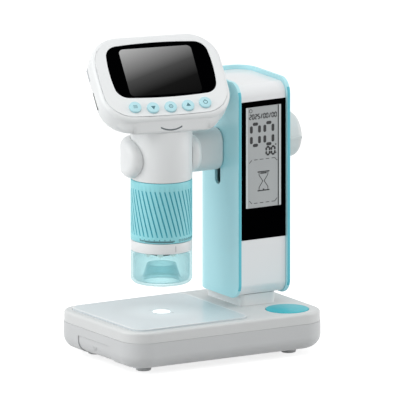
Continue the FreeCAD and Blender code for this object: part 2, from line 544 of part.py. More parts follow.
def buildCarriage():
    slider = newBody("slider", carriage)
    inner = "(columnWidth / 2 - columnWall - sliderGap)"
    block(slider, "Additive", "sliderBlock", (f"-{inner}", inner), centred("0", "sliderDepth"),
          centred("0", "sliderTall"))
    rounded(slider, "2", upright)
    crossRod(slider, "Subtractive", "sliderBore", "studRadius + shaftGap", (f"-{inner} - 1", f"{inner} + 1"), "0", "0")
    keep(slider, "slider_block")

    outer = "(columnWidth / 2)"
    armEnd = f"(-{outer} - moveGap)"
    knobStart = f"({outer} + 2 * moveGap + washerThick)"
    knobEnd = f"({outer} + knobReach)"
    stud = doc.addObject("Part::Cylinder", "stud")
    stud.setExpression("Placement", bound(
        f"{carriage.Name}.Placement * create(<<placement>>; create(<<vector>>; {armEnd} - armWidth / 2; 0; 0); "
        "create(<<rotation>>; create(<<vector>>; 0; 1; 0); 90))"))
    bind(stud, Radius="studRadius", Height=f"{knobEnd} - knobRound - {armEnd} + armWidth / 2")
    keep(stud, "arm_stud")

    washer = newBody("washer", carriage)
    crossRod(washer, "Additive", "washerDisc", "washerRadius",
             (f"{outer} + moveGap", f"{outer} + moveGap + washerThick"), "0", "0")
    crossRod(washer, "Subtractive", "washerHole", "studRadius + shaftGap", (outer, knobStart), "0", "0")
    keep(washer, "knob_washer")

    knob = newBody("knob", carriage)
    crossRod(knob, "Additive", "knobDisc", "knobRadius", (knobStart, knobEnd), "0", "0")
    edge = localBox(knob).XMax
    rounded(knob, "knobRound", lambda box: flatAt(box, "X", edge))
    block(knob, "Additive", "knobRibBlock", (f"{knobStart} + knobRib", f"{knobEnd} - knobRound / 2"),
          centred("0", "2 * (knobRadius + knobRibRise)"), centred("0", "knobRib"))
    crossRod(knob, "Subtractive", "knobBore", "studRadius + shaftGap",
             (f"{knobStart} - 1", f"{knobEnd} - knobRound + moveGap"), "0", "0")
    keep(knob, "lock_knob")

    arm = newBody("armBody", carriage)
    reach = "(tubeX - columnX)"
    block(arm, "Additive", "armBlock", (f"{reach} + tubeRadius / 2", armEnd), centred("0", "armWidth"),
          ("-armDown", "armUp"))
    rounded(arm, "armWidth / 2 - fitGap", lambda box: box.XLength > 5)
    edge = localBox(arm).XMax
    rounded(arm, "armRound", lambda box: flatAt(box, "X", edge))
    crossRod(arm, "Subtractive", "armBore", "studRadius + shaftGap",
             (f"{armEnd} - armWidth / 2 - fitGap", f"{armEnd} + 1"), "0", "0")
    crossRod(arm, "Subtractive", "armScrewBore", "clipScrewRadius + fitGap",
             (f"{reach} + tubeRadius / 2 - 1", f"{armEnd} - armWidth / 2 - 2 * fitGap"), "0", "0")
    clipOuter = "(tubeRadius + moveGap + clipWall)"
    hollow = cylinder("clipHollow", clipFrame, f"{clipOuter} + shaftGap", "0", "0", centred("0", "3 * armDown"))
    cutFrom("armCut", arm, hollow, "arm")
    return clipOuter, reach


def buildClip(clipOuter, reach):
    clip = newBody("clip", clipFrame)
    sketch = outline(clip, "clipProfile", "XZ", [
        ("tubeRadius + moveGap", "-clipTall / 2"), (clipOuter, "-clipTall / 2"),
        (clipOuter, "clipTall / 2"), ("tubeRadius + moveGap", "clipTall / 2")])
    turn = clip.newObject("PartDesign::Revolution", "clipTurn")
    turn.Profile = sketch
    turn.ReferenceAxis = (sketch, ["V_Axis"])
    bind(turn, Angle="360 - clipLeft - clipRight")
    doc.recompute()
    base = clip.Tip
    ends = [f"Edge{number}" for number, edge in enumerate(base.Shape.Edges, start=1)
            if edge.BoundBox.ZLength < 0.01 and isinstance(edge.Curve, Part.Line)]
    fillet = clip.newObject("PartDesign::Fillet", "clipEnds")
    fillet.Base = (base, ends)
    bind(fillet, Radius="clipTall / 2 - fitGap")
    doc.recompute()
    base = clip.Tip
    outer = size("tubeRadius") + size("moveGap") + size("clipWall")
    rims = [f"Edge{number}" for number, edge in enumerate(base.Shape.Edges, start=1)
            if all(abs(math.hypot(point.X, point.Y) - outer) < 0.02 for point in edge.Vertexes)
            and edge.Length > 1 and abs(math.hypot(*edge.valueAt(sum(edge.ParameterRange) / 2)[:2]) - outer) < 0.02]
    soften = clip.newObject("PartDesign::Fillet", "clipRims")
    soften.Base = (base, rims)
    bind(soften, Radius="clipRound")
    turnFrame = frame("clipTurnFrame", (0, 0, 0), (0, 0, 1), "clipRight - 90", clipFrame)
    clip.setExpression("Placement", turnFrame.Name + ".Placement")
    doc.recompute()
    screwHole = doc.addObject("Part::Cylinder", "clipScrewHole")
    screwHead = doc.addObject("Part::Cylinder", "clipHeadHole")
    inside = f"{reach} + sqrt((tubeRadius + moveGap)^2 - ({slotY} - tubeY - screwHeadRadius)^2)"
    for item, radius, start, end in (
            (screwHole, "clipScrewRadius + fitGap", f"{inside} - 4", f"{inside} + clipWall + 4"),
            (screwHead, "screwHeadRadius + fitGap", f"{inside} - 4", f"{inside} + screwHeadHeight + seatGap")):
        item.setExpression("Placement", bound(
            f"{carriage.Name}.Placement * create(<<placement>>; create(<<vector>>; {start}; 0; 0); "
            "create(<<rotation>>; create(<<vector>>; 0; 1; 0); 90))"))
        bind(item, Radius=radius, Height=f"{end} - ({start})")
    cutFrom("clipCut", clip, joined("clipTools", [screwHole, screwHead]), "holder_clip")
    screw = newBody("clipScrewBody", carriage)
    crossRod(screw, "Additive", "clipScrewHead", "screwHeadRadius",
             (f"{inside} + seatGap", f"{inside} + screwHeadHeight"), "0", "0")
    crossRod(screw, "Additive", "clipScrewShank", "clipScrewRadius",
             (f"{inside} + screwHeadHeight / 2", f"{inside} + screwHeadHeight + clipScrewGrip"), "0", "0")
    keep(screw, "clip_screw")


def ribbedBand():
    """Upright prism of leaning ribs: two toothed outlines, the upper one turned by the lean."""
    radius, depth = size("tubeRadius"), size("ribDepth")
    low, high = size("ribBottom"), size("ribTop")
    count = int(size("ribCount"))
    twist = (high - low) * math.tan(math.radians(size("ribLean"))) / radius

    def toothed(level, turn):
        corners = []
        for tooth in range(count):
            for share, reach in ((0.0, radius - depth), (0.32, radius - depth), (0.42, radius), (0.9, radius)):
                angle = 2 * math.pi * (tooth + share) / count + turn
                corners.append(Vector(reach * math.cos(angle), reach * math.sin(angle), level))
        return Part.makePolygon(corners + corners[:1])

    return Part.makeLoft([toothed(low, 0), toothed(high, -twist)], True, True)


def buildTube():
    tubeBottom = "(ringTop + moveGap)"
    turned("tubeSleeve", handheld, [
        ("carrierRadius + moveGap", "sleeveBottom"), ("sleeveRadius", "sleeveBottom"), ("sleeveRadius", tubeBottom),
        ("tubeRadius", tubeBottom), ("tubeRadius", "headBottom - fitGap"),
        ("tubeRadius - tubeWall", "headBottom - fitGap"), ("tubeRadius - tubeWall", f"{tubeBottom} + tubeWall"),
        ("sleeveRadius - sleeveWall", f"{tubeBottom} + tubeWall"),
        ("sleeveRadius - sleeveWall", "sleeveBottom + sleeveFloor"),
        ("carrierRadius + moveGap", "sleeveBottom + sleeveFloor")], "barrel")
    ring = doc.addObject("Part::Feature", "ringShape")
    radius, low, high = size("tubeRadius"), size("ribBottom"), size("ribTop")
    bottom, top = size("ringBottom") + size("moveGap"), size("ringTop")
    bands = [Part.makeCylinder(radius, low - bottom, Vector(0, 0, bottom)),
             Part.makeCylinder(radius, top - high, Vector(0, 0, high))]
    bore = Part.makeCylinder(size("sleeveRadius") + size("shaftGap"), top - bottom + 2, Vector(0, 0, bottom - 1))
    ring.Shape = ribbedBand().fuse(bands).cut(bore)
    ring.setExpression("Placement", handheld.Name + ".Placement")
    keep(ring, "focus_ring")
    turned("indexRing", handheld, [
        ("sleeveRadius + shaftGap", "indexBottom"), ("tubeRadius", "indexBottom"), ("tubeRadius", "ringBottom"),
        ("sleeveRadius + shaftGap", "ringBottom")], "index_ring")
    spigot = "(sleeveRadius + shaftGap - moveGap)"
    spigotTop = "(indexBottom + capSpigot)"
    capTop = "(indexBottom - moveGap)"
    cap = turned("cap", handheld, [
        ("capMouth", "capBottom"), ("tubeRadius", "capBottom"), ("tubeRadius", capTop), (spigot, capTop),
        (spigot, spigotTop), (f"{spigot} - capWall", spigotTop), (f"{spigot} - capWall", f"{capTop} - capWall"),
        ("tubeRadius - capWall", f"{capTop} - 2 * capWall"), ("tubeRadius - capWall", "capBottom + capWall"),
        ("capMouth", "capBottom + capWall")], "clear_cap")
    low, wide = localBox(cap).ZMin, size("tubeRadius")
    rounded(cap, "capRound", lambda box: flatAt(box, "Z", low) and box.XLength > 2 * wide - 1)


def buildOptics():
    turned("carrier", handheld, [
        ("carrierBore - 1", "carrierBottom"), ("carrierRadius", "carrierBottom"),
        ("carrierRadius", "carrierBottom + carrierLength"), ("carrierBore", "carrierBottom + carrierLength"),
        ("carrierBore", "carrierBottom + lensSeat"), ("carrierBore - 1", "carrierBottom + lensSeat")],
        "lens_carrier")
    cylinder("lens", handheld, "carrierBore - fitGap", "0", "0",
             ("carrierBottom + lensSeat + fitGap", "carrierBottom + lensSeat + fitGap + lensThick"), "objective_lens")
    boardTop = "(sleeveBottom - fitGap)"
    boardEdge = "(sleeveRadius - sleeveWall - seatGap)"
    turned("ledRing", handheld, [
        ("carrierRadius + moveGap", f"{boardTop} - boardThick"), (boardEdge, f"{boardTop} - boardThick"),
        (boardEdge, boardTop), ("carrierRadius + moveGap", boardTop)], "ring_light_board")
    lights = []
    for number in range(int(size("ledCount"))):
        angle = f"{number} * 360 / ledCount + 22.5"
        lights.append(cylinder(f"ringLed{number}", handheld, "ledRadius", f"ledRingRadius * cos({angle})",
                               f"ledRingRadius * sin({angle})",
                               (f"{boardTop} - boardThick - ledDome", f"{boardTop} - boardThick")))
    group("ringLeds", lights, "ring_leds")
    cylinder("sensorDisc", handheld, boardEdge, "0", "0", ("sensorZ", "sensorZ + boardThick"), "sensor_board")
    cuboid("sensorChip", handheld, centred("0", "sensorSize"), centred("0", "sensorSize"),
           ("sensorZ - sensorThick", "sensorZ"), "image_sensor")


def bulged(name, width, low, high, bulgeX, bulgeY, corner, back, front, place=face):
    """A slab on the face plane whose four sides bow outwards, with rounded corners."""
    half = width / 2
    inX, inLow, inHigh = half - bulgeX, low + bulgeY, high - bulgeY
    middle = (low + high) / 2
    points = [(-inX, inLow), (inX, inLow), (inX, inHigh), (-inX, inHigh)]
    bows = [(0, low), (half, middle), (0, high), (-half, middle)]
    sides = []
    for step, bow in enumerate(bows):
        first, last = points[step], points[(step + 1) % 4]
        sides.append(Part.Arc(Vector(*first, back), Vector(*bow, back), Vector(*last, back)).toShape())
    slab = Part.Face(Part.Wire(sides)).extrude(Vector(0, 0, front - back))
    posts = [edge for edge in slab.Edges if upright(edge.BoundBox)]
    item = doc.addObject("Part::Feature", name)
    item.Shape = slab.makeFillet(corner, posts)
    item.setExpression("Placement", place.Name + ".Placement")
    return item


def pillow(name, inset, frontLevel, frontRound=None):
    """The head's rounded block, inset on all sides but its front."""
    body = newBody(name, face)
    half = f"(headWidth / 2 - {inset})"
    block(body, "Additive", name + "Block", (f"-{half}", half), (f"-headDown + {inset}", f"headUp - {inset}"),
          (f"-headThick + {inset}", frontLevel))
    rounded(body, f"headCorner - {inset}", upright)
    low = localBox(body).ZMin
    rounded(body, f"headBackRound - {inset}", lambda box: flatAt(box, "Z", low))
    if frontRound:
        high = localBox(body).ZMax
        rounded(body, frontRound, lambda box: flatAt(box, "Z", high))
    return body


def buildHead():
    outer = pillow("headOuter", "0", "-faceRise", "headFrontRound")
    inner = pillow("headInner", "headWall", "10")
    chins = []
    for name, radius, chosen in (
            ("chinPlan", "chinRound", lambda box: upright(box) and box.YMax < 0),
            ("chinFace", "chinSideRound", lambda box: box.YLength > 0.5 and flatAt(box, "Z", size("headBottom"))),
            ("chinSide", "chinUnderRound", lambda box: box.XLength > 0.5 and flatAt(box, "Z", size("headBottom"))
             and box.YMax < 0)):
        chin = newBody(name, handheld)
        block(chin, "Additive", name + "Block", centred("0", "chinWidth"), ("-chinFront", "chinBack"),
              ("headBottom", "headBottom + 2 * chinRound"))
        rounded(chin, radius, chosen)
        chins.append(chin)
    neck = cylinder("neck", handheld, "tubeRadius", "0", "0", ("headBottom", "headBottom + neckRise"))
    above = cuboid("aboveFace", face, centred("0", "3 * headWidth"), centred("0", "3 * headWidth"),
                   ("-headFrontRound", "2 * headWidth"))
    below = cutFrom("chinTrim", joined("chinMass", [shared("chin", shared("chinFront", *chins[:2]), chins[2]), neck]), above)
    full = joined("headMass", [outer, below])
    bore = cylinder("neckBore", handheld, "tubeRadius - tubeWall", "0", "0",
                    ("headBottom - 1", "headBottom + chinRound"))
    seat = cylinder("neckSeat", handheld, "tubeRadius + fitGap", "0", "0", ("headBottom - chinRound", "headBottom"))
    bezelHole = bulged("bezelHole", size("faceWidth") + 2 * size("fitGap"), -size("faceDown") - size("fitGap"),
                       size("faceUp") + size("fitGap"), size("faceBulge"), size("faceBulge"), size("faceCorner"),
                       -size("bezelThick") - size("fitGap"), 5)
    hollow = shared("headHollow", inner, cuboid("hollowLimit", face, centred("0", "3 * headWidth"),
                    centred("0", "3 * headWidth"), ("-2 * headThick", "-bezelThick - fitGap")))
    port = cuboid("portCut", face, ("-headWidth", "-headWidth / 2 + headWall + 1"),
                  centred("portUp", "portLength + 2 * seatGap"),
                  (f"{portTop} - portHeight - seatGap", f"{portTop} + seatGap"))
    card = cuboid("cardCut", face, ("-headWidth", "-headWidth / 2 + headWall + 1"),
                  centred("-cardDown", "cardLength"),
                  centred(f"{portTop} - cardThick / 2", "cardSlot"))
    smile = doc.addObject("Part::Torus", "smileRing")
    smile.setExpression("Placement", bound(
        f"{handheld.Name}.Placement * create(<<placement>>; create(<<vector>>; 0; -chinFront - smileProud; "
        "smileZ + smileRadius); "
        "create(<<rotation>>; create(<<vector>>; 1; 0; 0); 90))"))
    bind(smile, Radius1="smileRadius", Radius2="smileDepth")
    smileBox = cuboid("smileLimit", handheld, centred("0", "smileWidth"), ("-chinFront - 2", "-chinFront + 2"),
                      ("headBottom", "headBottom + smileRadius"))
    groove = shared("smileGroove", smile, smileBox)
    tools = joined("headTools", [hollow, bore, seat, bezelHole, port, card, groove])
    shell = cutFrom("headCut", full, tools)
    posts, screws = [], []
    boardFront = "-headBoardBack"
    for number, (signX, y) in enumerate(headPosts):
        x = f"{signX}headPostX"
        postTop = f"{boardFront} - boardThick"
        post = cylinder(f"headPost{number}", face, "postRadius", x, y, ("-headThick + headWall / 2", postTop))
        posts.append(cutFrom(f"headPostCut{number}", post, cylinder(
            f"headPostBore{number}", face, "headScrewRadius + shaftGap", x, y,
            (f"{postTop} - headScrewGrip - seatGap", f"{postTop} + 1"))))
        head = cylinder(f"headScrewTop{number}", face, "headScrewHead", x, y,
                        (boardFront, f"{boardFront} + headScrewRise"))
        shank = cylinder(f"headScrewShank{number}", face, "headScrewRadius", x, y,
                         (f"{postTop} - headScrewGrip", f"{boardFront} + headScrewRise / 2"))
        screws.append(joined(f"headScrew{number}", [head, shank]))
    joined("headShell", [shell] + posts, "head_housing")
    group("headScrews", screws, "board_screws")

    plate = bulged("bezelBlank", size("faceWidth"), -size("faceDown"), size("faceUp"), size("faceBulge"),
                   size("faceBulge"), size("faceCorner") - size("fitGap"), -size("bezelThick"), 0)
    glassFrame = frame("glassFrame", ("glassX", "glassY", 0), (0, 0, 1), 0, face)
    glassHole = bulged("glassHole", size("glassWidth") + 2 * size("fitGap"), -size("glassHeight") / 2 - size("fitGap"),
                       size("glassHeight") / 2 + size("fitGap"), size("glassBulgeX"), size("glassBulgeY"),
                       size("glassCorner") + size("fitGap"), -size("bezelThick") - 1, 1, glassFrame)
    holes = [glassHole]
    for number in range(-2, 3):
        x, y = keyPlace(number)
        holes.append(cylinder(f"keyHole{number + 2}", face, "keyRadius + moveGap", x, y, ("-bezelThick - 1", "1")))
    cutFrom("bezelCut", plate, joined("bezelTools", holes), "face_bezel")
    keep(bulged("glassSlab", size("glassWidth"), -size("glassHeight") / 2, size("glassHeight") / 2,
                size("glassBulgeX"), size("glassBulgeY"), size("glassCorner"),
                -size("glassThick") - size("fitGap"), -size("fitGap"), glassFrame), "display_glass")
    moduleFront = "(-bezelThick - fitGap / 2)"
    cuboid("displaySlab", face, centred("0", "displayWidth"), centred("0", "displayHeight"),
           (f"{moduleFront} - displayThick", moduleFront), "display_module")
    board = newBody("headBoardSlab", face)
    block(board, "Additive", "headBoardBlock", ("-headBoardLeft", "headBoardRight"), ("-headBoardDown", "headBoardUp"),
          ("-headBoardBack - boardThick", "-headBoardBack"))
    rounded(board, "headBoardRound", lambda box: upright(box) or box.YMax < 0 and box.ZLength > 1)
    boardHoles = [cylinder(f"boardHole{number}", face, "headScrewRadius + fitGap", f"{signX}headPostX", y,
                           ("-headBoardBack - boardThick - 1", "-headBoardBack + 1"))
                  for number, (signX, y) in enumerate(headPosts)]
    cutFrom("headBoardCut", board, joined("boardTools", boardHoles), "head_board")
    packFront = "(-headBoardBack - boardThick - seatGap)"
    cuboid("pack", face, centred("packX", "packLength"), centred("packY", "packHeight"),
           (f"{packFront} - packThick", packFront), "head_battery")
    cuboid("port", face, ("-headWidth / 2 + portInset", "-headWidth / 2 + portInset + portDepth"),
           centred("portUp", "portLength"),
           (f"{portTop} - portHeight", portTop), "charge_port")
    socketStart = "(-headWidth / 2 + headWall + cardInset)"
    cuboid("cardSocket", face, (socketStart, f"{socketStart} + cardDepth"),
           centred("-cardDown", "cardLength + 1"), (f"{portTop} - cardThick", portTop), "card_socket")


def keyPlace(number):
    """Centre of a head key on the face plane; the two end keys sit higher."""
    return f"keyX + {number} * keyPitch", f"-keyDown + keyEndRise * {0.1 * abs(number) if abs(number) < 2 else 1}"


def buildKeys():
    names = {-2: "menu_key", -1: "down_key", 0: "confirm_key", 1: "up_key", 2: "power_key"}
    flangeTop = "(-bezelThick - moveGap)"
    switches = []
    for number, label in names.items():
        x, y = keyPlace(number)
        place = frame(label + "Frame", (x, y, 0), (0, 0, 1), 0, face)
        stemEnd = "(-headBoardBack + keySwitchHeight + keyTravel + moveGap)"
        wide = "(keyRadius + keyFlange)"
        turned(label + "Body", place, [
            ("0", stemEnd), ("keyStem", stemEnd), ("keyStem", f"{flangeTop} - keyFlange"),
            (wide, f"{flangeTop} - keyFlange"), (wide, flangeTop), ("keyRadius", flangeTop),
            ("keyRadius", "keyRise - keyRound"), ("keyRadius - keyRound", "keyRise"), ("0", "keyRise")], label)
        switches.append(cuboid(label + "Switch", face, centred(x, "keySwitch"), centred(y, "keySwitch"),
                               ("-headBoardBack", "-headBoardBack + keySwitchHeight")))
    group("keySwitches", switches, "key_switches")


buildBaseBottom()
buildBatteryDoor()
buildBaseTop()
buildStage()
buildBaseInside()
buildFeetAndScrews()
buildPedestal()
buildColumnShell()
buildColumnFront()
buildClock()
clipOuter, reach = buildCarriage()
buildClip(clipOuter, reach)
buildTube()
buildOptics()
buildHead()
buildKeys()
doc.recompute()

failed = [f"{item.Label} {item.State}" for item in doc.Objects if "Invalid" in item.State or "Error" in item.State]
failed += [f"{item.Label} has no valid solid" for item in parts
           if item.Shape.isNull() or not item.Shape.isValid() or not item.Shape.Solids]
if failed:
    raise RuntimeError("; ".join(failed))

os.makedirs("parts", exist_ok=True)
for item in parts:
    item.Shape.exportStep(os.path.join("parts", item.Label + ".step"))
    print(item.Label, len(item.Shape.Solids), round(item.Shape.Volume))
print(len(parts), "sub-parts")
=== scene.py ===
import json
import math
import bmesh
import bpy
from mathutils import Matrix, Vector


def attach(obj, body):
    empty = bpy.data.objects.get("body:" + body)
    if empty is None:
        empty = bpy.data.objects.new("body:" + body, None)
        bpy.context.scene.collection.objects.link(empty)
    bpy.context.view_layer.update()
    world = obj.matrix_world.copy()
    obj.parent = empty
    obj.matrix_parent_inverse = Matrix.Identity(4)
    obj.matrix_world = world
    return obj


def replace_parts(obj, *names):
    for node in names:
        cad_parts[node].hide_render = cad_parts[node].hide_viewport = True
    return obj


# Handheld digital microscope in the clip of its stand, beside a clock column.

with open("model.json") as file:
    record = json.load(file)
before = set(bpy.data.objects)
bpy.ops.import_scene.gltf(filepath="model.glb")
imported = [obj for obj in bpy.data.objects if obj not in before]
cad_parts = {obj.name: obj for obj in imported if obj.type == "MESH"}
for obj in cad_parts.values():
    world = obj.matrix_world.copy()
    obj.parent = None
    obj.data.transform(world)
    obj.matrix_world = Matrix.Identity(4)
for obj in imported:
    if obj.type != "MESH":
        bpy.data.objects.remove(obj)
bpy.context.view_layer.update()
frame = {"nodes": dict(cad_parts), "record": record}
nodes = frame["nodes"]
bodyOf = {node: body for body, members in frame["record"]["behaviour"]["bodies"].items() for node in members}
slotOf = {part["node"]: part["material_slot"] for part in frame["record"]["subparts"]}
mm = 0.001
print("frame loaded:", len(nodes), "nodes")


def moved(x, y, z):
    return Matrix.Translation(Vector((x, y, z)) * mm)


def turned(degrees, axis):
    return Matrix.Rotation(math.radians(degrees), 4, axis)


# Places on the object, in millimetres and degrees.
site = {"standX": -3.375, "tubeX": -26.575, "tubeY": -0.3, "yaw": -12.5, "faceBack": 3.6, "faceZ": 187.8,
        "tilt": 44, "lcdLeft": 27.575, "lcdFront": -16.1, "lcdTop": 160.75, "plateTop": 29.8}
stand = moved(site["standX"], 0, 0)
tube = moved(site["tubeX"], site["tubeY"], 0) @ turned(site["yaw"], "Z")
face = tube @ moved(0, site["faceBack"], site["faceZ"]) @ turned(site["tilt"], "X")
lcd = moved(site["lcdLeft"], site["lcdFront"], site["lcdTop"]) @ turned(90, "X")


# Materials

def linear(code):
    shares = [int(code[at:at + 2], 16) / 255 for at in (1, 3, 5)]
    return [share / 12.92 if share <= 0.04045 else ((share + 0.055) / 1.055) ** 2.4 for share in shares] + [1.0]


def addNode(tree, kind, inputs=None, **settings):
    node = tree.nodes.new(kind)
    for name, value in settings.items():
        setattr(node, name, value)
    for name, value in (inputs or {}).items():
        if isinstance(value, bpy.types.NodeSocket):
            tree.links.new(value, node.inputs[name])
        else:
            node.inputs[name].default_value = value
    return node


def startMaterial(name):
    material = bpy.data.materials.new(name)
    material.use_nodes = True
    tree = material.node_tree
    tree.nodes.clear()
    spot = addNode(tree, "ShaderNodeTexCoord").outputs["Object"]
    return material, tree, spot


def finishMaterial(tree, shader):
    addNode(tree, "ShaderNodeOutputMaterial", {"Surface": shader})


def shade(tree, spot, look):
    # A colour that drifts a little over the piece, between the two given ones.
    drift = addNode(tree, "ShaderNodeTexNoise", {"Vector": spot, "Scale": 1 / (look["driftMm"] * mm), "Detail": 2.0})
    return addNode(tree, "ShaderNodeMix", {"Factor": drift.outputs["Fac"], "A": linear(look["colour"]),
                                           "B": linear(look["second"])}, data_type="RGBA")


def grain(tree, spot, look):
    # Fine grain as a bump, and the same grain in the gloss.
    noise = addNode(tree, "ShaderNodeTexNoise", {"Vector": spot, "Scale": 1 / (look["grainMm"] * mm), "Detail": 3.0})
    bump = addNode(tree, "ShaderNodeBump", {"Height": noise.outputs["Fac"], "Strength": look["relief"],
                                            "Distance": look["grainMm"] * mm})
    gloss = addNode(tree, "ShaderNodeMapRange", {"Value": noise.outputs["Fac"], "To Min": look["rough"] - 0.04,
                                                 "To Max": look["rough"] + 0.04})
    return bump.outputs["Normal"], gloss.outputs["Result"]


def mouldedAbs(name, look):
    # Injection-moulded ABS: an even satin skin, a trace of spark-eroded grain and soft wide highlights.
    material, tree, spot = startMaterial(name)
    colour = shade(tree, spot, look)
    normal, rough = grain(tree, spot, look)
    shader = addNode(tree, "ShaderNodeBsdfPrincipled", {
        "Base Color": colour.outputs[2], "Roughness": rough, "Normal": normal, "IOR": 1.53,
        "Subsurface Weight": look.get("depth", 0.0), "Subsurface Radius": (1, 1, 1), "Subsurface Scale": 1.2 * mm,
        "Coat Weight": look.get("coat", 0.0), "Coat Roughness": 0.12})
    finishMaterial(tree, shader.outputs["BSDF"])
    return material


def clearPlastic(name, look):
    # Clear moulded plastic: see-through where it is looked at squarely, milky and brighter towards its edges.
    material, tree, spot = startMaterial(name)
    noise = addNode(tree, "ShaderNodeTexNoise", {"Vector": spot, "Scale": 1 / (look["grainMm"] * mm)})
    rough = addNode(tree, "ShaderNodeMapRange", {"Value": noise.outputs["Fac"], "To Min": look["rough"] * 0.5,
                                                 "To Max": look["rough"] * 1.5})
    skin = addNode(tree, "ShaderNodeBsdfPrincipled", {
        "Base Color": linear(look["milk"]), "Roughness": rough.outputs["Result"], "IOR": look["ior"]})
    through = addNode(tree, "ShaderNodeBsdfTransparent", {"Color": linear(look["colour"])})
    rim = addNode(tree, "ShaderNodeLayerWeight", {"Blend": 0.4})
    share = addNode(tree, "ShaderNodeMapRange", {"Value": rim.outputs["Facing"], "To Min": look["body"],
                                                 "To Max": look["edge"]})
    mixed = addNode(tree, "ShaderNodeMixShader", {"Fac": share.outputs["Result"]})
    tree.links.new(through.outputs["BSDF"], mixed.inputs[1])
    tree.links.new(skin.outputs["BSDF"], mixed.inputs[2])
    finishMaterial(tree, mixed.outputs["Shader"])
    return material


def printedGlass(name, look):
    # Flat glass printed black on its back: deep black under one sharp reflection.
    material, tree, spot = startMaterial(name)
    colour = shade(tree, spot, look)
    shader = addNode(tree, "ShaderNodeBsdfPrincipled", {
        "Base Color": colour.outputs[2], "Roughness": look["rough"], "IOR": 1.5,
        "Specular IOR Level": look["shine"]})
    finishMaterial(tree, shader.outputs["BSDF"])
    return material


def turnedSteel(name, look):
    # Zinc-plated steel: fine turning lines that stretch the highlight.
    material, tree, spot = startMaterial(name)
    lines = addNode(tree, "ShaderNodeTexNoise", {"Vector": spot, "Scale": 1 / (look["grainMm"] * mm)})
    rough = addNode(tree, "ShaderNodeMapRange", {"Value": lines.outputs["Fac"], "To Min": look["rough"] - 0.08,
                                                 "To Max": look["rough"] + 0.08})
    shader = addNode(tree, "ShaderNodeBsdfPrincipled", {
        "Base Color": linear(look["colour"]), "Metallic": 1.0, "Roughness": rough.outputs["Result"]})
    finishMaterial(tree, shader.outputs["BSDF"])
    return material


def solderMask(name, look):
    # Glass-fibre board: green mask with copper tracks showing through in a square pattern.
    material, tree, spot = startMaterial(name)
    tracks = addNode(tree, "ShaderNodeTexVoronoi", {"Vector": spot, "Scale": 1 / (look["trackMm"] * mm)},
                     distance="MANHATTAN", feature="F1")
    edge = addNode(tree, "ShaderNodeMapRange", {"Value": tracks.outputs["Distance"], "From Min": 0.3,
                                                "From Max": 0.36})
    colour = addNode(tree, "ShaderNodeMix", {"Factor": edge.outputs["Result"], "A": linear(look["colour"]),
                                             "B": linear(look["track"])}, data_type="RGBA")
    shader = addNode(tree, "ShaderNodeBsdfPrincipled", {"Base Color": colour.outputs[2], "Roughness": 0.32, "IOR": 1.5})
    finishMaterial(tree, shader.outputs["BSDF"])
    return material


def printInk(name, look):
    # Pad-printed ink: a thin matt film, a little broken by the grain below.
    material, tree, spot = startMaterial(name)
    colour = shade(tree, spot, look)
    shader = addNode(tree, "ShaderNodeBsdfPrincipled", {"Base Color": colour.outputs[2], "Roughness": look["rough"]})
    finishMaterial(tree, shader.outputs["BSDF"])
    return material


def litAcrylic(name, look):
    # Frosted acrylic over a lamp: satin skin, pale body, light spread through the sheet around the lamp.
    material, tree, spot = startMaterial(name)
    colour = shade(tree, spot, look)
    normal, rough = grain(tree, spot, look)
    centred = addNode(tree, "ShaderNodeMapping", {"Vector": spot, "Location": (
        -site["tubeX"] * mm, -site["tubeY"] * mm, -site["plateTop"] * mm)})
    reach = addNode(tree, "ShaderNodeVectorMath", {0: centred.outputs["Vector"]}, operation="LENGTH")
    glow = addNode(tree, "ShaderNodeMapRange", {
        "Value": reach.outputs["Value"], "From Min": look["glowNear"] * mm, "From Max": look["glowFar"] * mm,
        "To Min": look["glow"], "To Max": 0.0}, interpolation_type="SMOOTHSTEP")
    shader = addNode(tree, "ShaderNodeBsdfPrincipled", {
        "Base Color": colour.outputs[2], "Roughness": rough, "Normal": normal, "IOR": 1.49, "Coat Weight": look["coat"],
        "Coat Roughness": 0.06, "Emission Color": linear(look["glowColour"]),
        "Emission Strength": glow.outputs["Result"]})
    finishMaterial(tree, shader.outputs["BSDF"])
    return material


def paintedPanelReflection(name, look):
    # A switched-off panel behind glass, with a painted reflection: grey towards its upper left, black towards its lower
    # right.
    material, tree, spot = startMaterial(name)
    local = addNode(tree, "ShaderNodeMapping", {"Vector": spot, "Location": look["centre"], "Rotation": look["turn"]},
                    vector_type="TEXTURE")
    parts = addNode(tree, "ShaderNodeSeparateXYZ", {0: local.outputs["Vector"]})
    across = addNode(tree, "ShaderNodeMapRange", {
        "Value": parts.outputs["X"], "From Min": -look["halfWide"] * mm, "From Max": look["halfWide"] * mm,
        "To Min": 0.0, "To Max": look["across"]})
    down = addNode(tree, "ShaderNodeMapRange", {
        "Value": parts.outputs["Y"], "From Min": look["halfTall"] * mm, "From Max": -look["halfTall"] * mm,
        "To Min": 0.0, "To Max": look["down"]})
    total = addNode(tree, "ShaderNodeMath", {0: across.outputs["Result"], 1: down.outputs["Result"]}, operation="ADD")
    ramp = addNode(tree, "ShaderNodeValToRGB", {"Fac": total.outputs["Value"]})
    ramp.color_ramp.elements[0].color = linear(look["steps"][0][1])
    ramp.color_ramp.elements[1].color = linear(look["steps"][-1][1])
    for at, code in look["steps"][1:-1]:
        ramp.color_ramp.elements.new(at).color = linear(code)
    shader = addNode(tree, "ShaderNodeBsdfPrincipled", {"Base Color": ramp.outputs["Color"], "Roughness": 0.3,
                                                        "Specular IOR Level": 0.03})
    finishMaterial(tree, shader.outputs["BSDF"])
    return material


